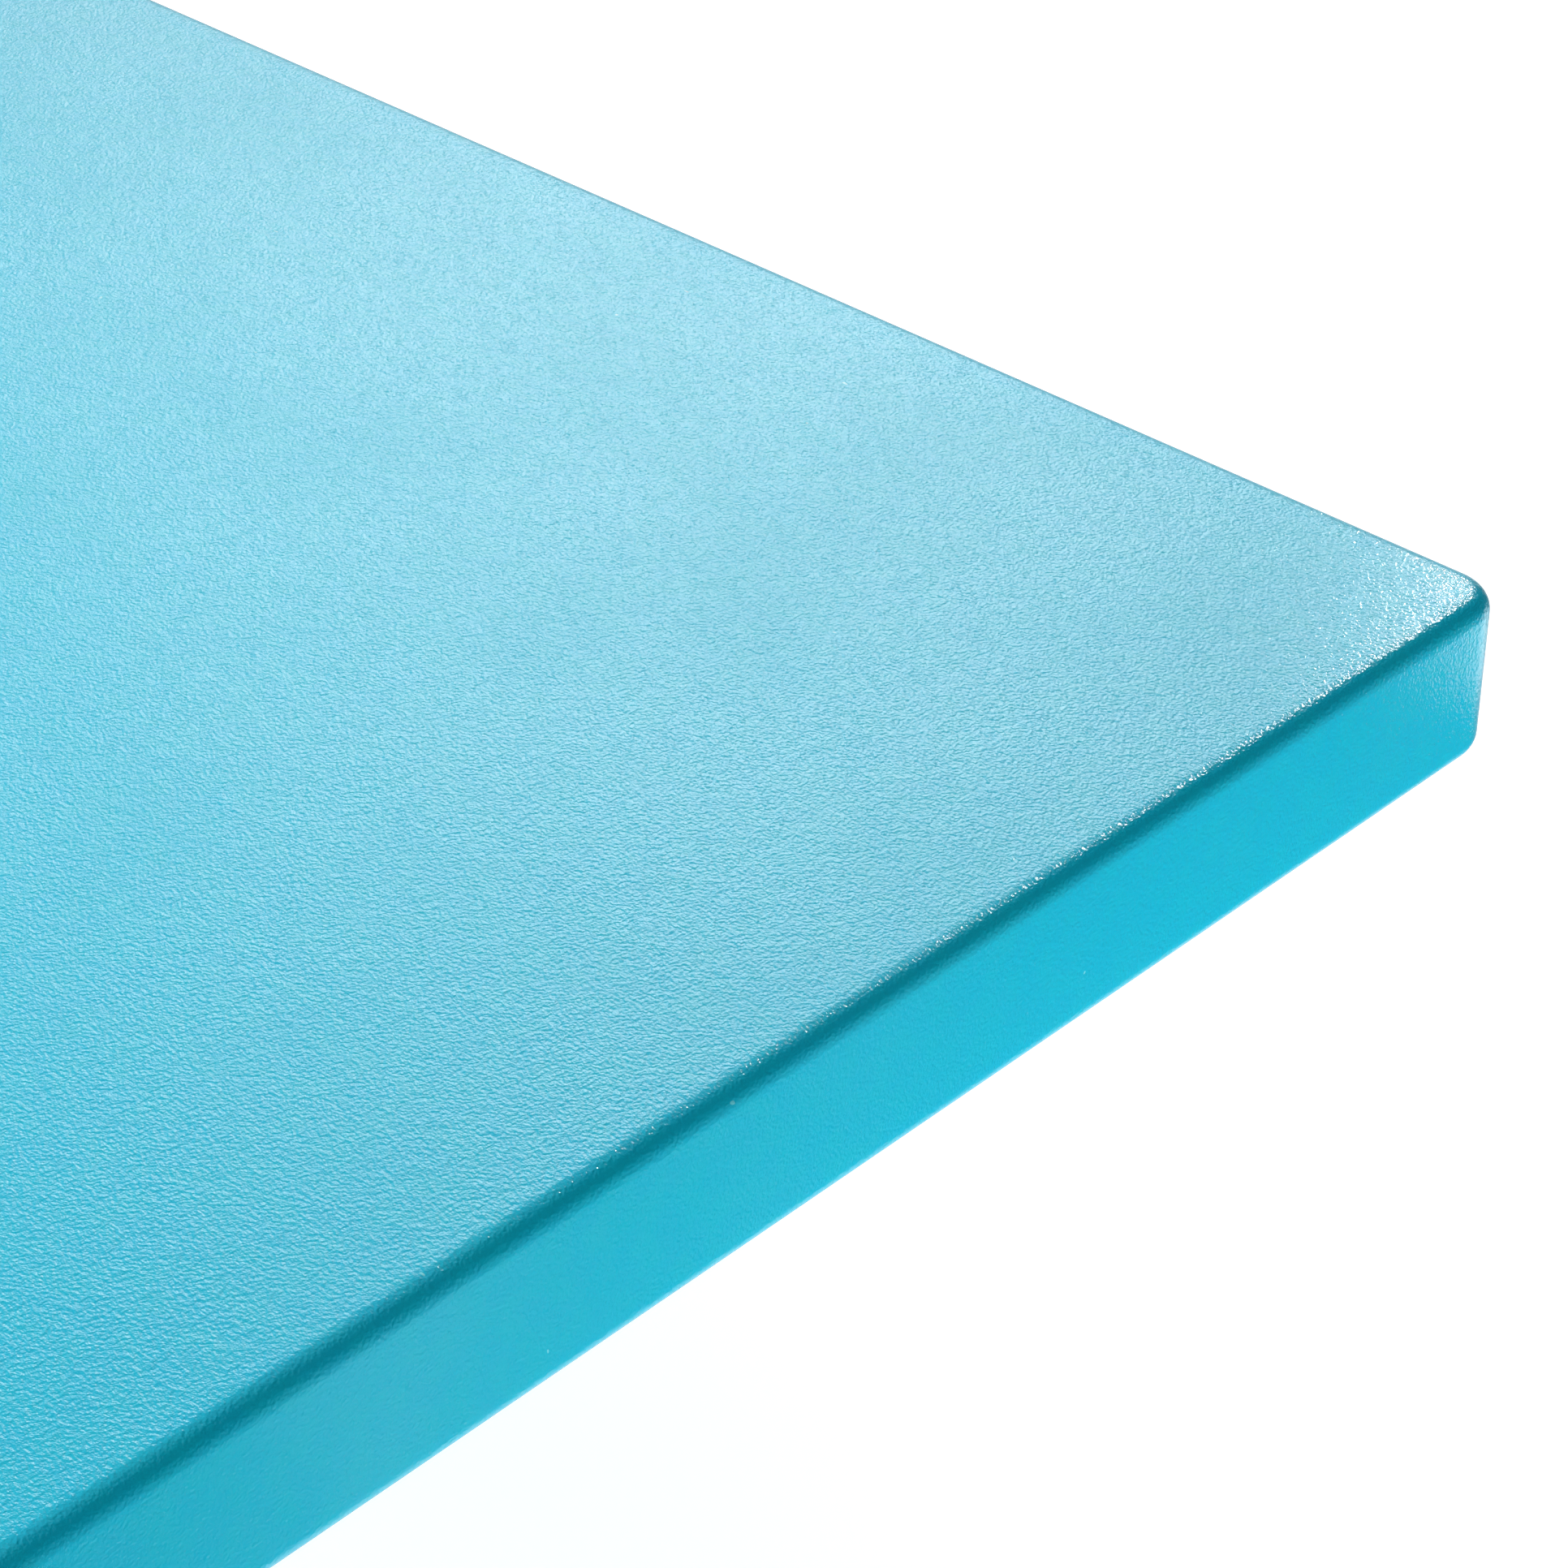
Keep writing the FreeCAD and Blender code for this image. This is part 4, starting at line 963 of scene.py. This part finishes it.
for hand, label in SIDES:
    node = "coil_spring_" + label
    low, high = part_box(node)
    foot = Vector((*middle_of(node).xy, low.z))
    spring = run_tree("wound_spring_" + label, spring_tree, loose_points([foot]), powder_coat,
                      {"Coil Radius": (high.x - low.x) / 2 - WIRE_RADIUS, "Wire Radius": WIRE_RADIUS,
                       "Turns": SPRING_TURNS, "Closed Turns": CLOSED_TURNS, "Height": high.z - low.z,
                       "Hand": float(hand), "Steps": 500, "Steps Round": 20}, SPRING_SHARP)
    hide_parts(node)
    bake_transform(spring)
    print(spring.name, "is", round(high.z - low.z, 4), "high")

# %% [markdown]
# ## Threads
# A rolled thread is a ridge that climbs as it goes round. On a cylinder of many rings, the distance from the
# axis is made to rise and fall with the height, and the angle shifts that wave, so the ridge climbs once in
# every turn. The end is tapered a little, as a die leaves it.

# %% Tree for threaded rods
RINGS_PER_PITCH = 6.0
ROD_STEPS = 32


def build_thread_tree():
    tree, given = new_tree("threaded_rod", {
        **floats("Rod Radius", "Length", "Pitch", "Thread Depth", "End Taper"), "Turn": tuple})
    rod = made(tree, "GeometryNodeMeshCylinder", {
        "Vertices": ROD_STEPS, "Side Segments": given["Length"] / given["Pitch"] * RINGS_PER_PITCH,
        "Radius": given["Rod Radius"], "Depth": given["Length"]})
    x, y, z = split(position(tree))
    angle = calculate(tree, "ARCTAN2", y, x) / math.tau
    phase = calculate(tree, "FRACT", z / given["Pitch"] - angle)
    groove = calculate(tree, "ABSOLUTE", phase - 0.5) * 2.0 * given["Thread Depth"]
    taper_start = given["Length"] / 2.0 - given["End Taper"]
    past = calculate(tree, "ABSOLUTE", z) - taper_start
    inward = groove + calculate(tree, "MAXIMUM", past, 0.0)
    scale = 1.0 - inward / given["Rod Radius"]
    rods = on_points(given, moved(rod, x * scale, y * scale, z), Rotation=given["Turn"])
    return end_tree(rods, given)


thread_tree = build_thread_tree()

# %% [markdown]
# ## Nuts and bolt heads
# A hexagon nut is a six-sided bar with each end turned to a cone, so the corners are cut back in curves. The
# rings below follow that: a flat washer face, then a hexagon that drops with its distance from the axis.
# A small tree sets a nut or a bolt on every centre and turns each by a different amount, as hands leave them.

# %% Hexagon shapes
HEX_STEPS = 60
CHAMFER_SLOPE = math.tan(math.radians(30))
FACE_SHARE = 0.475
BORE_LEAD = 0.0008
FASTENER_SHARP = 25


def hex_ring(shape, flats, level, cone_radius=None, direction=0):
    """A ring on a hexagon; with a cone it drops from level in the given direction."""
    points = []
    for angle in turns(HEX_STEPS):
        within = (angle + math.pi / 6) % (math.pi / 3) - math.pi / 6
        radius = flats / 2 / math.cos(within)
        drop = (radius - cone_radius) * CHAMFER_SLOPE if cone_radius else 0
        points.append((radius * math.cos(angle), radius * math.sin(angle), level - direction * drop))
    return new_ring(shape, points)


def round_ring(shape, radius, level):
    return new_ring(shape, circle((0, 0, level), radius, HEX_STEPS))


def nut_template(flats, height, bore):
    shape = bmesh.new()
    face = flats * FACE_SHARE
    low, high = -height / 2, height / 2
    rings = [round_ring(shape, bore, low + BORE_LEAD), round_ring(shape, bore + BORE_LEAD, low),
             round_ring(shape, face, low), hex_ring(shape, flats, low, face, -1),
             hex_ring(shape, flats, high, face, 1), round_ring(shape, face, high),
             round_ring(shape, bore + BORE_LEAD, high), round_ring(shape, bore, high - BORE_LEAD)]
    skin(shape, rings + rings[:1], capped=False)
    return mesh_piece("nut_template", shape, fastener_steel, FASTENER_SHARP)


print("hexagon helpers ready")

# %% Tree that sets fasteners


def build_fastener_tree():
    tree, given = new_tree("set_fasteners", {"Fastener": bpy.types.Object, "Axis Turn": tuple,
                                             "Seed": int})
    copied = made(tree, "GeometryNodeObjectInfo", {"Object": given["Fastener"], "As Instance": True},
                  "Geometry")
    placed = on_points(given, copied, Rotation=given["Axis Turn"])
    random_turn = made(tree, "FunctionNodeRandomValue", {2: 0.0, 3: math.pi / 3, "Seed": given["Seed"]},
                       1, data_type="FLOAT")
    own_turn = made(tree, "ShaderNodeCombineXYZ", {"Z": random_turn})
    turned = made(tree, "GeometryNodeRotateInstances", {"Instances": placed, "Rotation": own_turn,
                                                       "Local Space": True})
    return end_tree(turned, given)


fastener_tree = build_fastener_tree()

# %% Setting fasteners and threads
THREAD_SHARE = 0.55
TAPER_SHARE = 0.8
THREAD_SHARP = 45
UPRIGHT = (0.0, 0.0, 0.0)


def set_fasteners(name, pattern, centres, seed, axis_turn=UPRIGHT):
    """Copies a pattern object onto every centre, and removes the pattern."""
    piece = run_tree(name, fastener_tree, loose_points(centres), fastener_steel,
                     {"Fastener": pattern, "Axis Turn": axis_turn, "Seed": seed}, FASTENER_SHARP)
    bpy.data.objects.remove(pattern)
    return piece


def threaded(name, centres, radius, length, pitch, turn=UPRIGHT):
    return run_tree(name, thread_tree, loose_points(centres), fastener_steel,
                    {"Rod Radius": radius, "Length": length, "Pitch": pitch, "Turn": turn,
                     "Thread Depth": pitch * THREAD_SHARE, "End Taper": pitch * TAPER_SHARE}, THREAD_SHARP)


print("fastener helpers ready")

# %% [markdown]
# ## Bolts through the plank
# The bolts that hold the plank have low domed heads, so that nobody stubs a toe, with a six-sided socket for
# the key. Under the rocker their threads stand a little way out of the nuts.

# %% Domed bolts
BOLT_RADIUS = 0.006
HEAD_RADIUS = 0.014
HEAD_SIDE = 0.0014
HEAD_EDGE = 0.0003
DOME_POWER = 2.4
DOME_STEPS = 10
SOCKET_FLATS = 0.008
SOCKET_DEPTH = 0.0035
SOCKET_POINT = 0.0008
SOCKET_LEAD = 0.0006
SOCKET_RIM = SOCKET_FLATS * 0.62
bolt_low, bolt_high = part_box("board_bolts")
washer_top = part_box("bolt_top_washers")[1].z
nut_low, nut_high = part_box("board_nuts")


def dome_level(radius):
    """Height of the dome above the washer, falling from the top to the head's side."""
    share = radius / HEAD_RADIUS
    return HEAD_SIDE + (bolt_high.z - washer_top - HEAD_SIDE) * (1 - share ** DOME_POWER)


def domed_bolt():
    shape = bmesh.new()
    top = dome_level(0)
    floor_level = top - SOCKET_DEPTH
    rings = [new_ring(shape, [(0, 0, floor_level - SOCKET_POINT)]),
             hex_ring(shape, SOCKET_FLATS, floor_level), hex_ring(shape, SOCKET_FLATS, top - SOCKET_LEAD)]
    for step in range(DOME_STEPS + 1):
        radius = SOCKET_RIM + (HEAD_RADIUS - SOCKET_RIM) * step / DOME_STEPS
        rings.append(round_ring(shape, radius, dome_level(radius)))
    for radius, level in ((HEAD_RADIUS, HEAD_EDGE), (HEAD_RADIUS - HEAD_EDGE, 0), (BOLT_RADIUS, 0),
                          (BOLT_RADIUS, nut_high.z - washer_top)):
        rings.append(round_ring(shape, radius, level))
    skin(shape, rings, capped=False)
    shape.faces.new(rings[-1])
    return mesh_piece("bolt_template", shape, fastener_steel, FASTENER_SHARP)


bolts = set_fasteners("domed_bolts", domed_bolt(), at_level(bolt_centres, washer_top),
                      seed=3)
hand_over(bolts, ROCKER, "fastener_steel", "board_bolts")

# %% Bolt tails and nuts
BOLT_PITCH = 0.00175
NUT_FLATS = 0.019
BORE_OVERLAP = 0.0002

tails = threaded("bolt_tails", at_level(bolt_centres, (nut_high.z + bolt_low.z) / 2), BOLT_RADIUS,
                 nut_high.z - bolt_low.z, BOLT_PITCH)
hand_over(tails, ROCKER, "fastener_steel")

plank_nut = nut_template(NUT_FLATS, nut_high.z - nut_low.z, BOLT_RADIUS - BORE_OVERLAP)
nuts = set_fasteners("plank_nuts", plank_nut, at_level(bolt_centres, (nut_low.z + nut_high.z) / 2),
                     seed=5)
hand_over(nuts, ROCKER, "fastener_steel", "board_nuts")

# %% [markdown]
# ## Guide rods
# A rod runs down the middle of each spring. Its hexagon head sits on the spring plate, its plain shank slides
# through the shelf, and two nuts locked against each other below keep the board from lifting too far.

# %% Rods
GUIDE_FLATS = 0.024
GUIDE_RADIUS = 0.008
GUIDE_PITCH = 0.002
THREAD_ABOVE_NUTS = 0.012
guide_low, guide_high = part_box("guide_rods")
plate_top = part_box("spring_plate")[1].z
lock_low, lock_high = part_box("rebound_nuts")
pad_washer_low, pad_washer_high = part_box("rebound_washers")
guide_centres = centres_in("rebound_washers", (pad_washer_high.x - pad_washer_low.x) / 2)
thread_top = lock_high.z + THREAD_ABOVE_NUTS


def guide_rod():
    shape = bmesh.new()
    height = guide_high.z - plate_top
    face = GUIDE_FLATS * FACE_SHARE
    skin(shape, [round_ring(shape, face, height), hex_ring(shape, GUIDE_FLATS, height, face, 1),
                 hex_ring(shape, GUIDE_FLATS, 0), round_ring(shape, GUIDE_RADIUS, 0),
                 round_ring(shape, GUIDE_RADIUS, thread_top - plate_top)])
    return mesh_piece("rod_template", shape, fastener_steel, FASTENER_SHARP)


rods = set_fasteners("guide_rods_turned", guide_rod(), at_level(guide_centres, plate_top),
                     seed=8)
hand_over(rods, ROCKER, "fastener_steel", "guide_rods")
rod_threads = threaded("guide_rod_threads", at_level(guide_centres, (guide_low.z + thread_top) / 2),
                       GUIDE_RADIUS, thread_top - guide_low.z, GUIDE_PITCH)
hand_over(rod_threads, ROCKER, "fastener_steel")

# %% Locked nuts
lock_height = (lock_high.z - lock_low.z) / 2
lock_centres = [(x, y, lock_low.z + lock_height * (level + 0.5))
                for x, y in guide_centres for level in (0, 1)]
lock_nut = nut_template(GUIDE_FLATS, lock_height, GUIDE_RADIUS - BORE_OVERLAP)
lock_nuts = set_fasteners("locked_nuts", lock_nut, lock_centres, seed=13)
hand_over(lock_nuts, ROCKER, "fastener_steel", "rebound_nuts")

# %% [markdown]
# ## Pivot shaft
# The rocker turns on one ground shaft through both ears of the stand. It is plain where the bushes run, with
# a small chamfer at each end of the plain part and a thread for the large nut. The lathe makes the plain
# part, and the thread tree, laid on its side, makes both ends.

# %% Shaft
SHAFT_RADIUS = 0.0125
SHAFT_CHAMFER = 0.0004
SHAFT_PITCH = 0.003
SIDEWAYS = (math.pi / 2, 0.0, 0.0)
shaft_middle = middle_of("pivot_shaft")
plain_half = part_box("shaft_washers")[1].y
end_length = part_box("pivot_shaft")[1].y - plain_half


def on_shaft(distance):
    """The two points on the shaft's axis at a distance from its middle."""
    return [(shaft_middle.x, side * distance, shaft_middle.z) for side, _ in SIDES]


def make_shaft():
    chamfered = SHAFT_RADIUS - SHAFT_CHAMFER
    shape = lathe([(0, -plain_half), (chamfered, -plain_half), (SHAFT_RADIUS, -plain_half + SHAFT_CHAMFER),
                   (SHAFT_RADIUS, plain_half - SHAFT_CHAMFER), (chamfered, plain_half), (0, plain_half)])
    laid_down = Matrix.Translation(shaft_middle) @ Matrix.Rotation(math.pi / 2, 4, "X")
    bmesh.ops.transform(shape, matrix=laid_down, verts=shape.verts)
    return mesh_piece("pivot_shaft_ground", shape, fastener_steel)


hand_over(make_shaft(), STAND, "fastener_steel", "pivot_shaft")
shaft_ends = threaded("shaft_threads", on_shaft(plain_half + end_length / 2), SHAFT_RADIUS, end_length,
                      SHAFT_PITCH, SIDEWAYS)
hand_over(shaft_ends, STAND, "fastener_steel")

# %% Shaft nuts
SHAFT_FLATS = 0.036
shaft_nut_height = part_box("shaft_nuts")[1].y - plain_half
shaft_nut = nut_template(SHAFT_FLATS, shaft_nut_height, SHAFT_RADIUS - BORE_OVERLAP)
shaft_nuts = set_fasteners("shaft_nuts_turned", shaft_nut, on_shaft(plain_half + shaft_nut_height / 2),
                           seed=21, axis_turn=SIDEWAYS)
hand_over(shaft_nuts, STAND, "fastener_steel", "shaft_nuts")

# %% [markdown]
# ## Weld beads
# The steel pieces are joined by hand welding. A bead is a row of overlapping drops, so its width swells and
# falls with every drop. The tree follows a path of edges, divides it finely, and lets the radius rise over
# each drop and fall at its end. A little noise keeps one drop from looking like the next.

# %% Tree for a weld bead
NOISE_SCALE = 160.0
BEAD_STEPS = 8


def build_weld_tree():
    tree, given = new_tree("weld_bead", floats("Bead Radius", "Drop Length", "Drop Depth",
                                               "Steps per Drop", "Unevenness", "Seed"))
    path = made(tree, "GeometryNodeMeshToCurve", {"Mesh": given["Geometry"]})
    step = given["Drop Length"] / given["Steps per Drop"]
    fine = made(tree, "GeometryNodeResampleCurve", {"Curve": path, "Length": step}, mode="LENGTH")
    along = made(tree, "GeometryNodeSplineParameter", output="Length")
    drop = calculate(tree, "FRACT", along / given["Drop Length"])
    fall = calculate(tree, "POWER", drop, 2.0) * given["Drop Depth"]
    inputs = {"Vector": position(tree), "W": given["Seed"], "Scale": NOISE_SCALE, "Detail": 1.0}
    noise = made(tree, "ShaderNodeTexNoise", inputs, "Fac", noise_dimensions="4D")
    radius = given["Bead Radius"] * (1.0 - fall + (noise - 0.5) * given["Unevenness"])
    return end_tree(sweep(fine, round_profile(tree, 1.0, BEAD_STEPS), Scale=radius), given)


weld_tree = build_weld_tree()

# %% Shapes of the seams
CROSS_RADIUS = 0.0212
SEAM_STEPS = 48
BAR_STEPS = 12
STITCH_LENGTH = 0.045
STITCHES = 4


def tube_seam(x, side, cross_height):
    """Where a cross tube meets a leg: a circle on the cross tube, pushed onto the leg."""
    return [(x + across, side * (rail_side - math.sqrt(TUBE_RADIUS ** 2 - across ** 2)), height)
            for across, height, _ in circle((0, cross_height, 0), CROSS_RADIUS, SEAM_STEPS)]


def bar_seam(x, side, bottom, top):
    """Where the side of a flat bar meets the rail."""
    path = []
    for step in range(BAR_STEPS + 1):
        height = bottom + (top - bottom) * step / BAR_STEPS
        reach = math.sqrt(max(TUBE_RADIUS ** 2 - (height - rail_height) ** 2, 0))
        path.append((x, side * (rail_side - reach), height))
    return path


def stitches(start, end):
    """Short straight welds spread along a line."""
    start, end = Vector(start), Vector(end)
    half = (end - start).normalized() * STITCH_LENGTH / 2
    middles = [start.lerp(end, (index + 0.5) / STITCHES) for index in range(STITCHES)]
    return [([middle - half, middle + half], False) for middle in middles]


print("seams: each circle has", SEAM_STEPS, "steps")

# %% Welds on the stand
SEAM_LIFT = 0.0005
BAR_TOP_GAP = 0.006
SHELF_END_GAP = 0.005
SHELF_SINK = 0.001
BAR_STITCH_REACH = 0.155


def stand_weld_paths():
    paths = []
    cross_height = middle_of("front_cross_tube").z
    shelf_low, shelf_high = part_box("spring_shelf")
    bars = [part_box(bar) for bar in ("shelf_bar_front", "shelf_bar_rear")]
    for side, label in SIDES:
        for x in (-leg_reach, leg_reach):
            foot = (x, side * rail_side, hoop_low.z)
            paths += [(circle(foot, TUBE_RADIUS, SEAM_STEPS), True),
                      (tube_seam(x, side, cross_height), True)]
        low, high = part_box("pivot_ear_" + label)
        corners = [(low.x, low.y), (high.x, low.y), (high.x, high.y), (low.x, high.y)]
        paths.append((at_level(corners, low.z + SEAM_LIFT), True))
        for low, high in bars:
            paths += [(bar_seam(x, side, low.z, high.z - BAR_TOP_GAP), False) for x in (low.x, high.x)]
        paths.append(([(x, side * (shelf_high.y - SHELF_SINK), shelf_low.z - SHELF_SINK)
                       for x in (shelf_low.x + SHELF_END_GAP, shelf_high.x - SHELF_END_GAP)], False))
    for low, high in bars:
        for x in (low.x, high.x):
            paths += stitches((x, -BAR_STITCH_REACH, high.z), (x, BAR_STITCH_REACH, high.z))
    low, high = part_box("lower_spring_seats")
    seat_radius = (high.x - low.x) / 2
    for seat in at_level(centres_in("lower_spring_seats", seat_radius), low.z + SEAM_LIFT):
        paths.append((circle(seat, seat_radius, SEAM_STEPS), True))
    return paths


stand_paths = stand_weld_paths()
print("stand welds:", len(stand_paths))

# %% Welds on the rocker
HUB_RADIUS = 0.023
CORNER_SINK = 0.0014
PLATE_END_GAP = 0.004


def rocker_weld_paths():
    paths = []
    arm_low, arm_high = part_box("rocker_arm_left")
    brace_low, brace_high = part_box("rocker_brace")
    hub = circle((shaft_middle.x, shaft_middle.z, 0), HUB_RADIUS, SEAM_STEPS)
    brace = [(brace_low.x, brace_low.z), (brace_high.x, brace_low.z), (brace_high.x, brace_high.z),
             (brace_low.x, brace_high.z)]
    top, bottom = arm_high.z - CORNER_SINK, arm_low.z + CORNER_SINK
    for side, _ in SIDES:
        for y in (arm_low.y, arm_high.y):
            paths.append(([(x, side * y, z) for x, z, _ in hub], True))
        paths.append(([(x, side * arm_low.y, z) for x, z in brace], True))
        for plate, level in (("heel_plate", top), ("fulcrum_plate", top), ("spring_plate", bottom)):
            low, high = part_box(plate)
            for y in (arm_low.y + CORNER_SINK, arm_high.y - CORNER_SINK):
                ends = (low.x + PLATE_END_GAP, high.x - PLATE_END_GAP)
                paths.append(([(x, side * y, level) for x in ends], False))
    return paths


rocker_paths = rocker_weld_paths()
print("rocker welds:", len(rocker_paths))

# %% Lay the beads
BEAD = {"Bead Radius": 0.0027, "Drop Length": 0.0024, "Drop Depth": 0.3, "Steps per Drop": 4.0,
        "Unevenness": 0.35}
BEAD_SHARP = 60

for name, body, paths, seed in (("stand_welds", STAND, stand_paths, 2.0),
                                ("rocker_welds", ROCKER, rocker_paths, 7.0)):
    beads = run_tree(name, weld_tree, paths, weld_steel, {**BEAD, "Seed": seed}, BEAD_SHARP)
    hand_over(beads, body, "stand_steel")

# %% [markdown]
# ## Floor
# A plain pale floor carries the light back up onto the end and the underside of the plank. It is kept out of
# mirror reflections, so the end face keeps its deep colour.

# %% Floor
FLOOR_HALF = 20.0
FLOOR_GAP = 0.0005
FLOOR_LIGHT = 0.62
floor_shape = bmesh.new()
bmesh.ops.create_grid(floor_shape, x_segments=1, y_segments=1, size=FLOOR_HALF)
floor_material, floor_shader = new_material("pale_floor", (0.9, 0.9, 0.9), 0.9)
floor_shader.inputs["Emission Color"].default_value = (1, 1, 1, 1)
floor_shader.inputs["Emission Strength"].default_value = FLOOR_LIGHT
floor = mesh_piece("floor", floor_shape, floor_material)
floor.data.transform(Matrix.Translation((0, 0, cad_box[0][2] - FLOOR_GAP)))
floor.visible_glossy = False
print("floor at", round(cad_box[0][2] - FLOOR_GAP, 4))

# %% [markdown]
# ## Camera
# The view is close to one corner of the tip and looks back along the plank, a third of a right angle down.
# A long lens keeps the edges nearly parallel. The camera is placed from the corner of the plank, so it
# would follow the plank if its size changed.

# %% Camera
PLANK_CORNER = Vector(board_high)
CAMERA_OFFSET = Vector((0.5191, -0.8269, 0.5856))
CAMERA_YAW = 43.35
CAMERA_PITCH = 34.09
camera_data = bpy.data.cameras.new("camera")
camera_data.lens = 98.76
camera_data.sensor_width = 36.0
camera_data.clip_start = 0.01
camera = bpy.data.objects.new("camera", camera_data)
camera.location = PLANK_CORNER + CAMERA_OFFSET
camera.rotation_euler = (math.radians(90 - CAMERA_PITCH), 0, math.radians(CAMERA_YAW))
scene.collection.objects.link(camera)
scene.camera = camera
print("camera at", [round(value, 3) for value in camera.location])

# %% [markdown]
# ## Light
# The sky round the board is a dim, even grey with one bright window low behind the plank. At a low angle
# the glossy top mirrors that window, and this pale sheen is what makes the colour look light. The side of
# the sky beyond the tip is shaded, so the rounded lip and the end face have little to mirror and keep their
# depth. Near the ground the sky is bright, as a pale floor would be in a reflection.

# %% Sky with a bright window
SKY_LEVEL = 0.33
WINDOW_LEVEL = 6.0
WINDOW_RISE = 0.47
WINDOW_HEIGHT = 0.1
WINDOW_WIDTH = 0.18
VIEW_RIGHT = (0.727, 0.687)
VIEW_AWAY = (-0.687, 0.727)
SHADE_SIDE = (0.64, 0.77)
AWAY_FADE = (0.2, 0.6)
HORIZON_FADE = (0.1, 0.2)
SKY_SHADE = (0.3, 0.6, 1.0, 0.14)
GROUND_SHADE = (0.42, 0.62, 0.9, 0.09)


def make_sky():
    world = bpy.data.worlds.new("studio")
    world.use_nodes = True
    tree = world.node_tree
    x, y, z = split(made(tree, "ShaderNodeTexCoord", output="Generated"))

    def towards(direction):
        return x * direction[0] + y * direction[1]

    above = rescale(z, *HORIZON_FADE, smooth=True)
    sideways = towards(VIEW_RIGHT) / WINDOW_WIDTH
    upwards = (z - WINDOW_RISE) / WINDOW_HEIGHT
    window = calculate(tree, "EXPONENT", (sideways * sideways + upwards * upwards) * -0.5)
    window = window * rescale(towards(VIEW_AWAY), *AWAY_FADE, smooth=True) * WINDOW_LEVEL
    high_part = (window + SKY_LEVEL) * above * rescale(towards(SHADE_SIDE), *SKY_SHADE, smooth=True)
    low_part = rescale(towards(SHADE_SIDE), *GROUND_SHADE, smooth=True) * (1.0 - above)
    seen = made(tree, "ShaderNodeLightPath", output="Is Camera Ray")
    level = calculate(tree, "MAXIMUM", high_part + low_part, seen)
    background = tree.nodes["Background"]
    background.inputs["Color"].default_value = (1, 1, 1, 1)
    tree.links.new(level.socket, background.inputs["Strength"])
    scene.world = world


make_sky()
scene.view_settings.view_transform = "Standard"
print("sky:", SKY_LEVEL, "window:", WINDOW_LEVEL)

# %% [markdown]
# ## Lamps
# Soft lamps from the heel and from overhead light the top and leave the rounded lip in shade. A low one
# lifts the end face, and one from the side lifts the near part of the top. Two small hard lamps make the
# bumps glitter, one at the corner and one all along the lip. A card close to the corner leaves a pale strip
# there. The low lamp is kept out of reflections, and the lip lamp shows in nothing else.

# %% Lamps
BOARD_MIDDLE = Vector((0.75, 0, 0.4))
END_LEFT = PLANK_CORNER + Vector((0, -0.254, -0.02))
NEAR_TOP = Vector((1.85, -0.2, 0.5))
CORNER_EDGE = PLANK_CORNER + Vector((0, 0.045, -0.025))

# name, target, direction from the target, distance, size, power, in reflections, on matt surfaces
LAMPS = (
    ("heel_lamp", BOARD_MIDDLE, (-0.76, -0.12, 0.64), 4.0, 2.2, 42, True, True),
    ("overhead_lamp", BOARD_MIDDLE, (-0.1, -0.25, 0.96), 3.6, 2.4, 15, True, True),
    ("low_lamp", END_LEFT, (0.62, 0.25, -0.74), 0.5, 0.3, 2.2, False, True),
    ("side_lamp", NEAR_TOP, (-0.6, -0.45, 0.66), 1.1, 0.5, 10.2, True, True),
    ("glint_lamp", PLANK_CORNER, (-0.438, 0.738, 0.512), 0.4, 0.01, 0.22, True, True),
    ("lip_lamp", PLANK_CORNER, (-0.18, 0.74, 0.65), 3.0, 0.05, 20.0, True, False),
    ("corner_card", CORNER_EDGE, (0.438, 0.75, -0.5), 0.06, 0.07, 0.03, True, True))

for name, target, direction, distance, size, power, glossy, matt in LAMPS:
    data = bpy.data.lights.new(name, "AREA")
    data.shape = "SQUARE"
    data.size = size
    data.energy = power
    lamp = bpy.data.objects.new(name, data)
    lamp.location = target + Vector(direction).normalized() * distance
    lamp.rotation_euler = (-Vector(direction)).to_track_quat("-Z", "Y").to_euler()
    lamp.visible_camera = False
    lamp.visible_glossy = glossy
    lamp.visible_diffuse = matt
    scene.collection.objects.link(lamp)
print("lamps:", len(LAMPS))
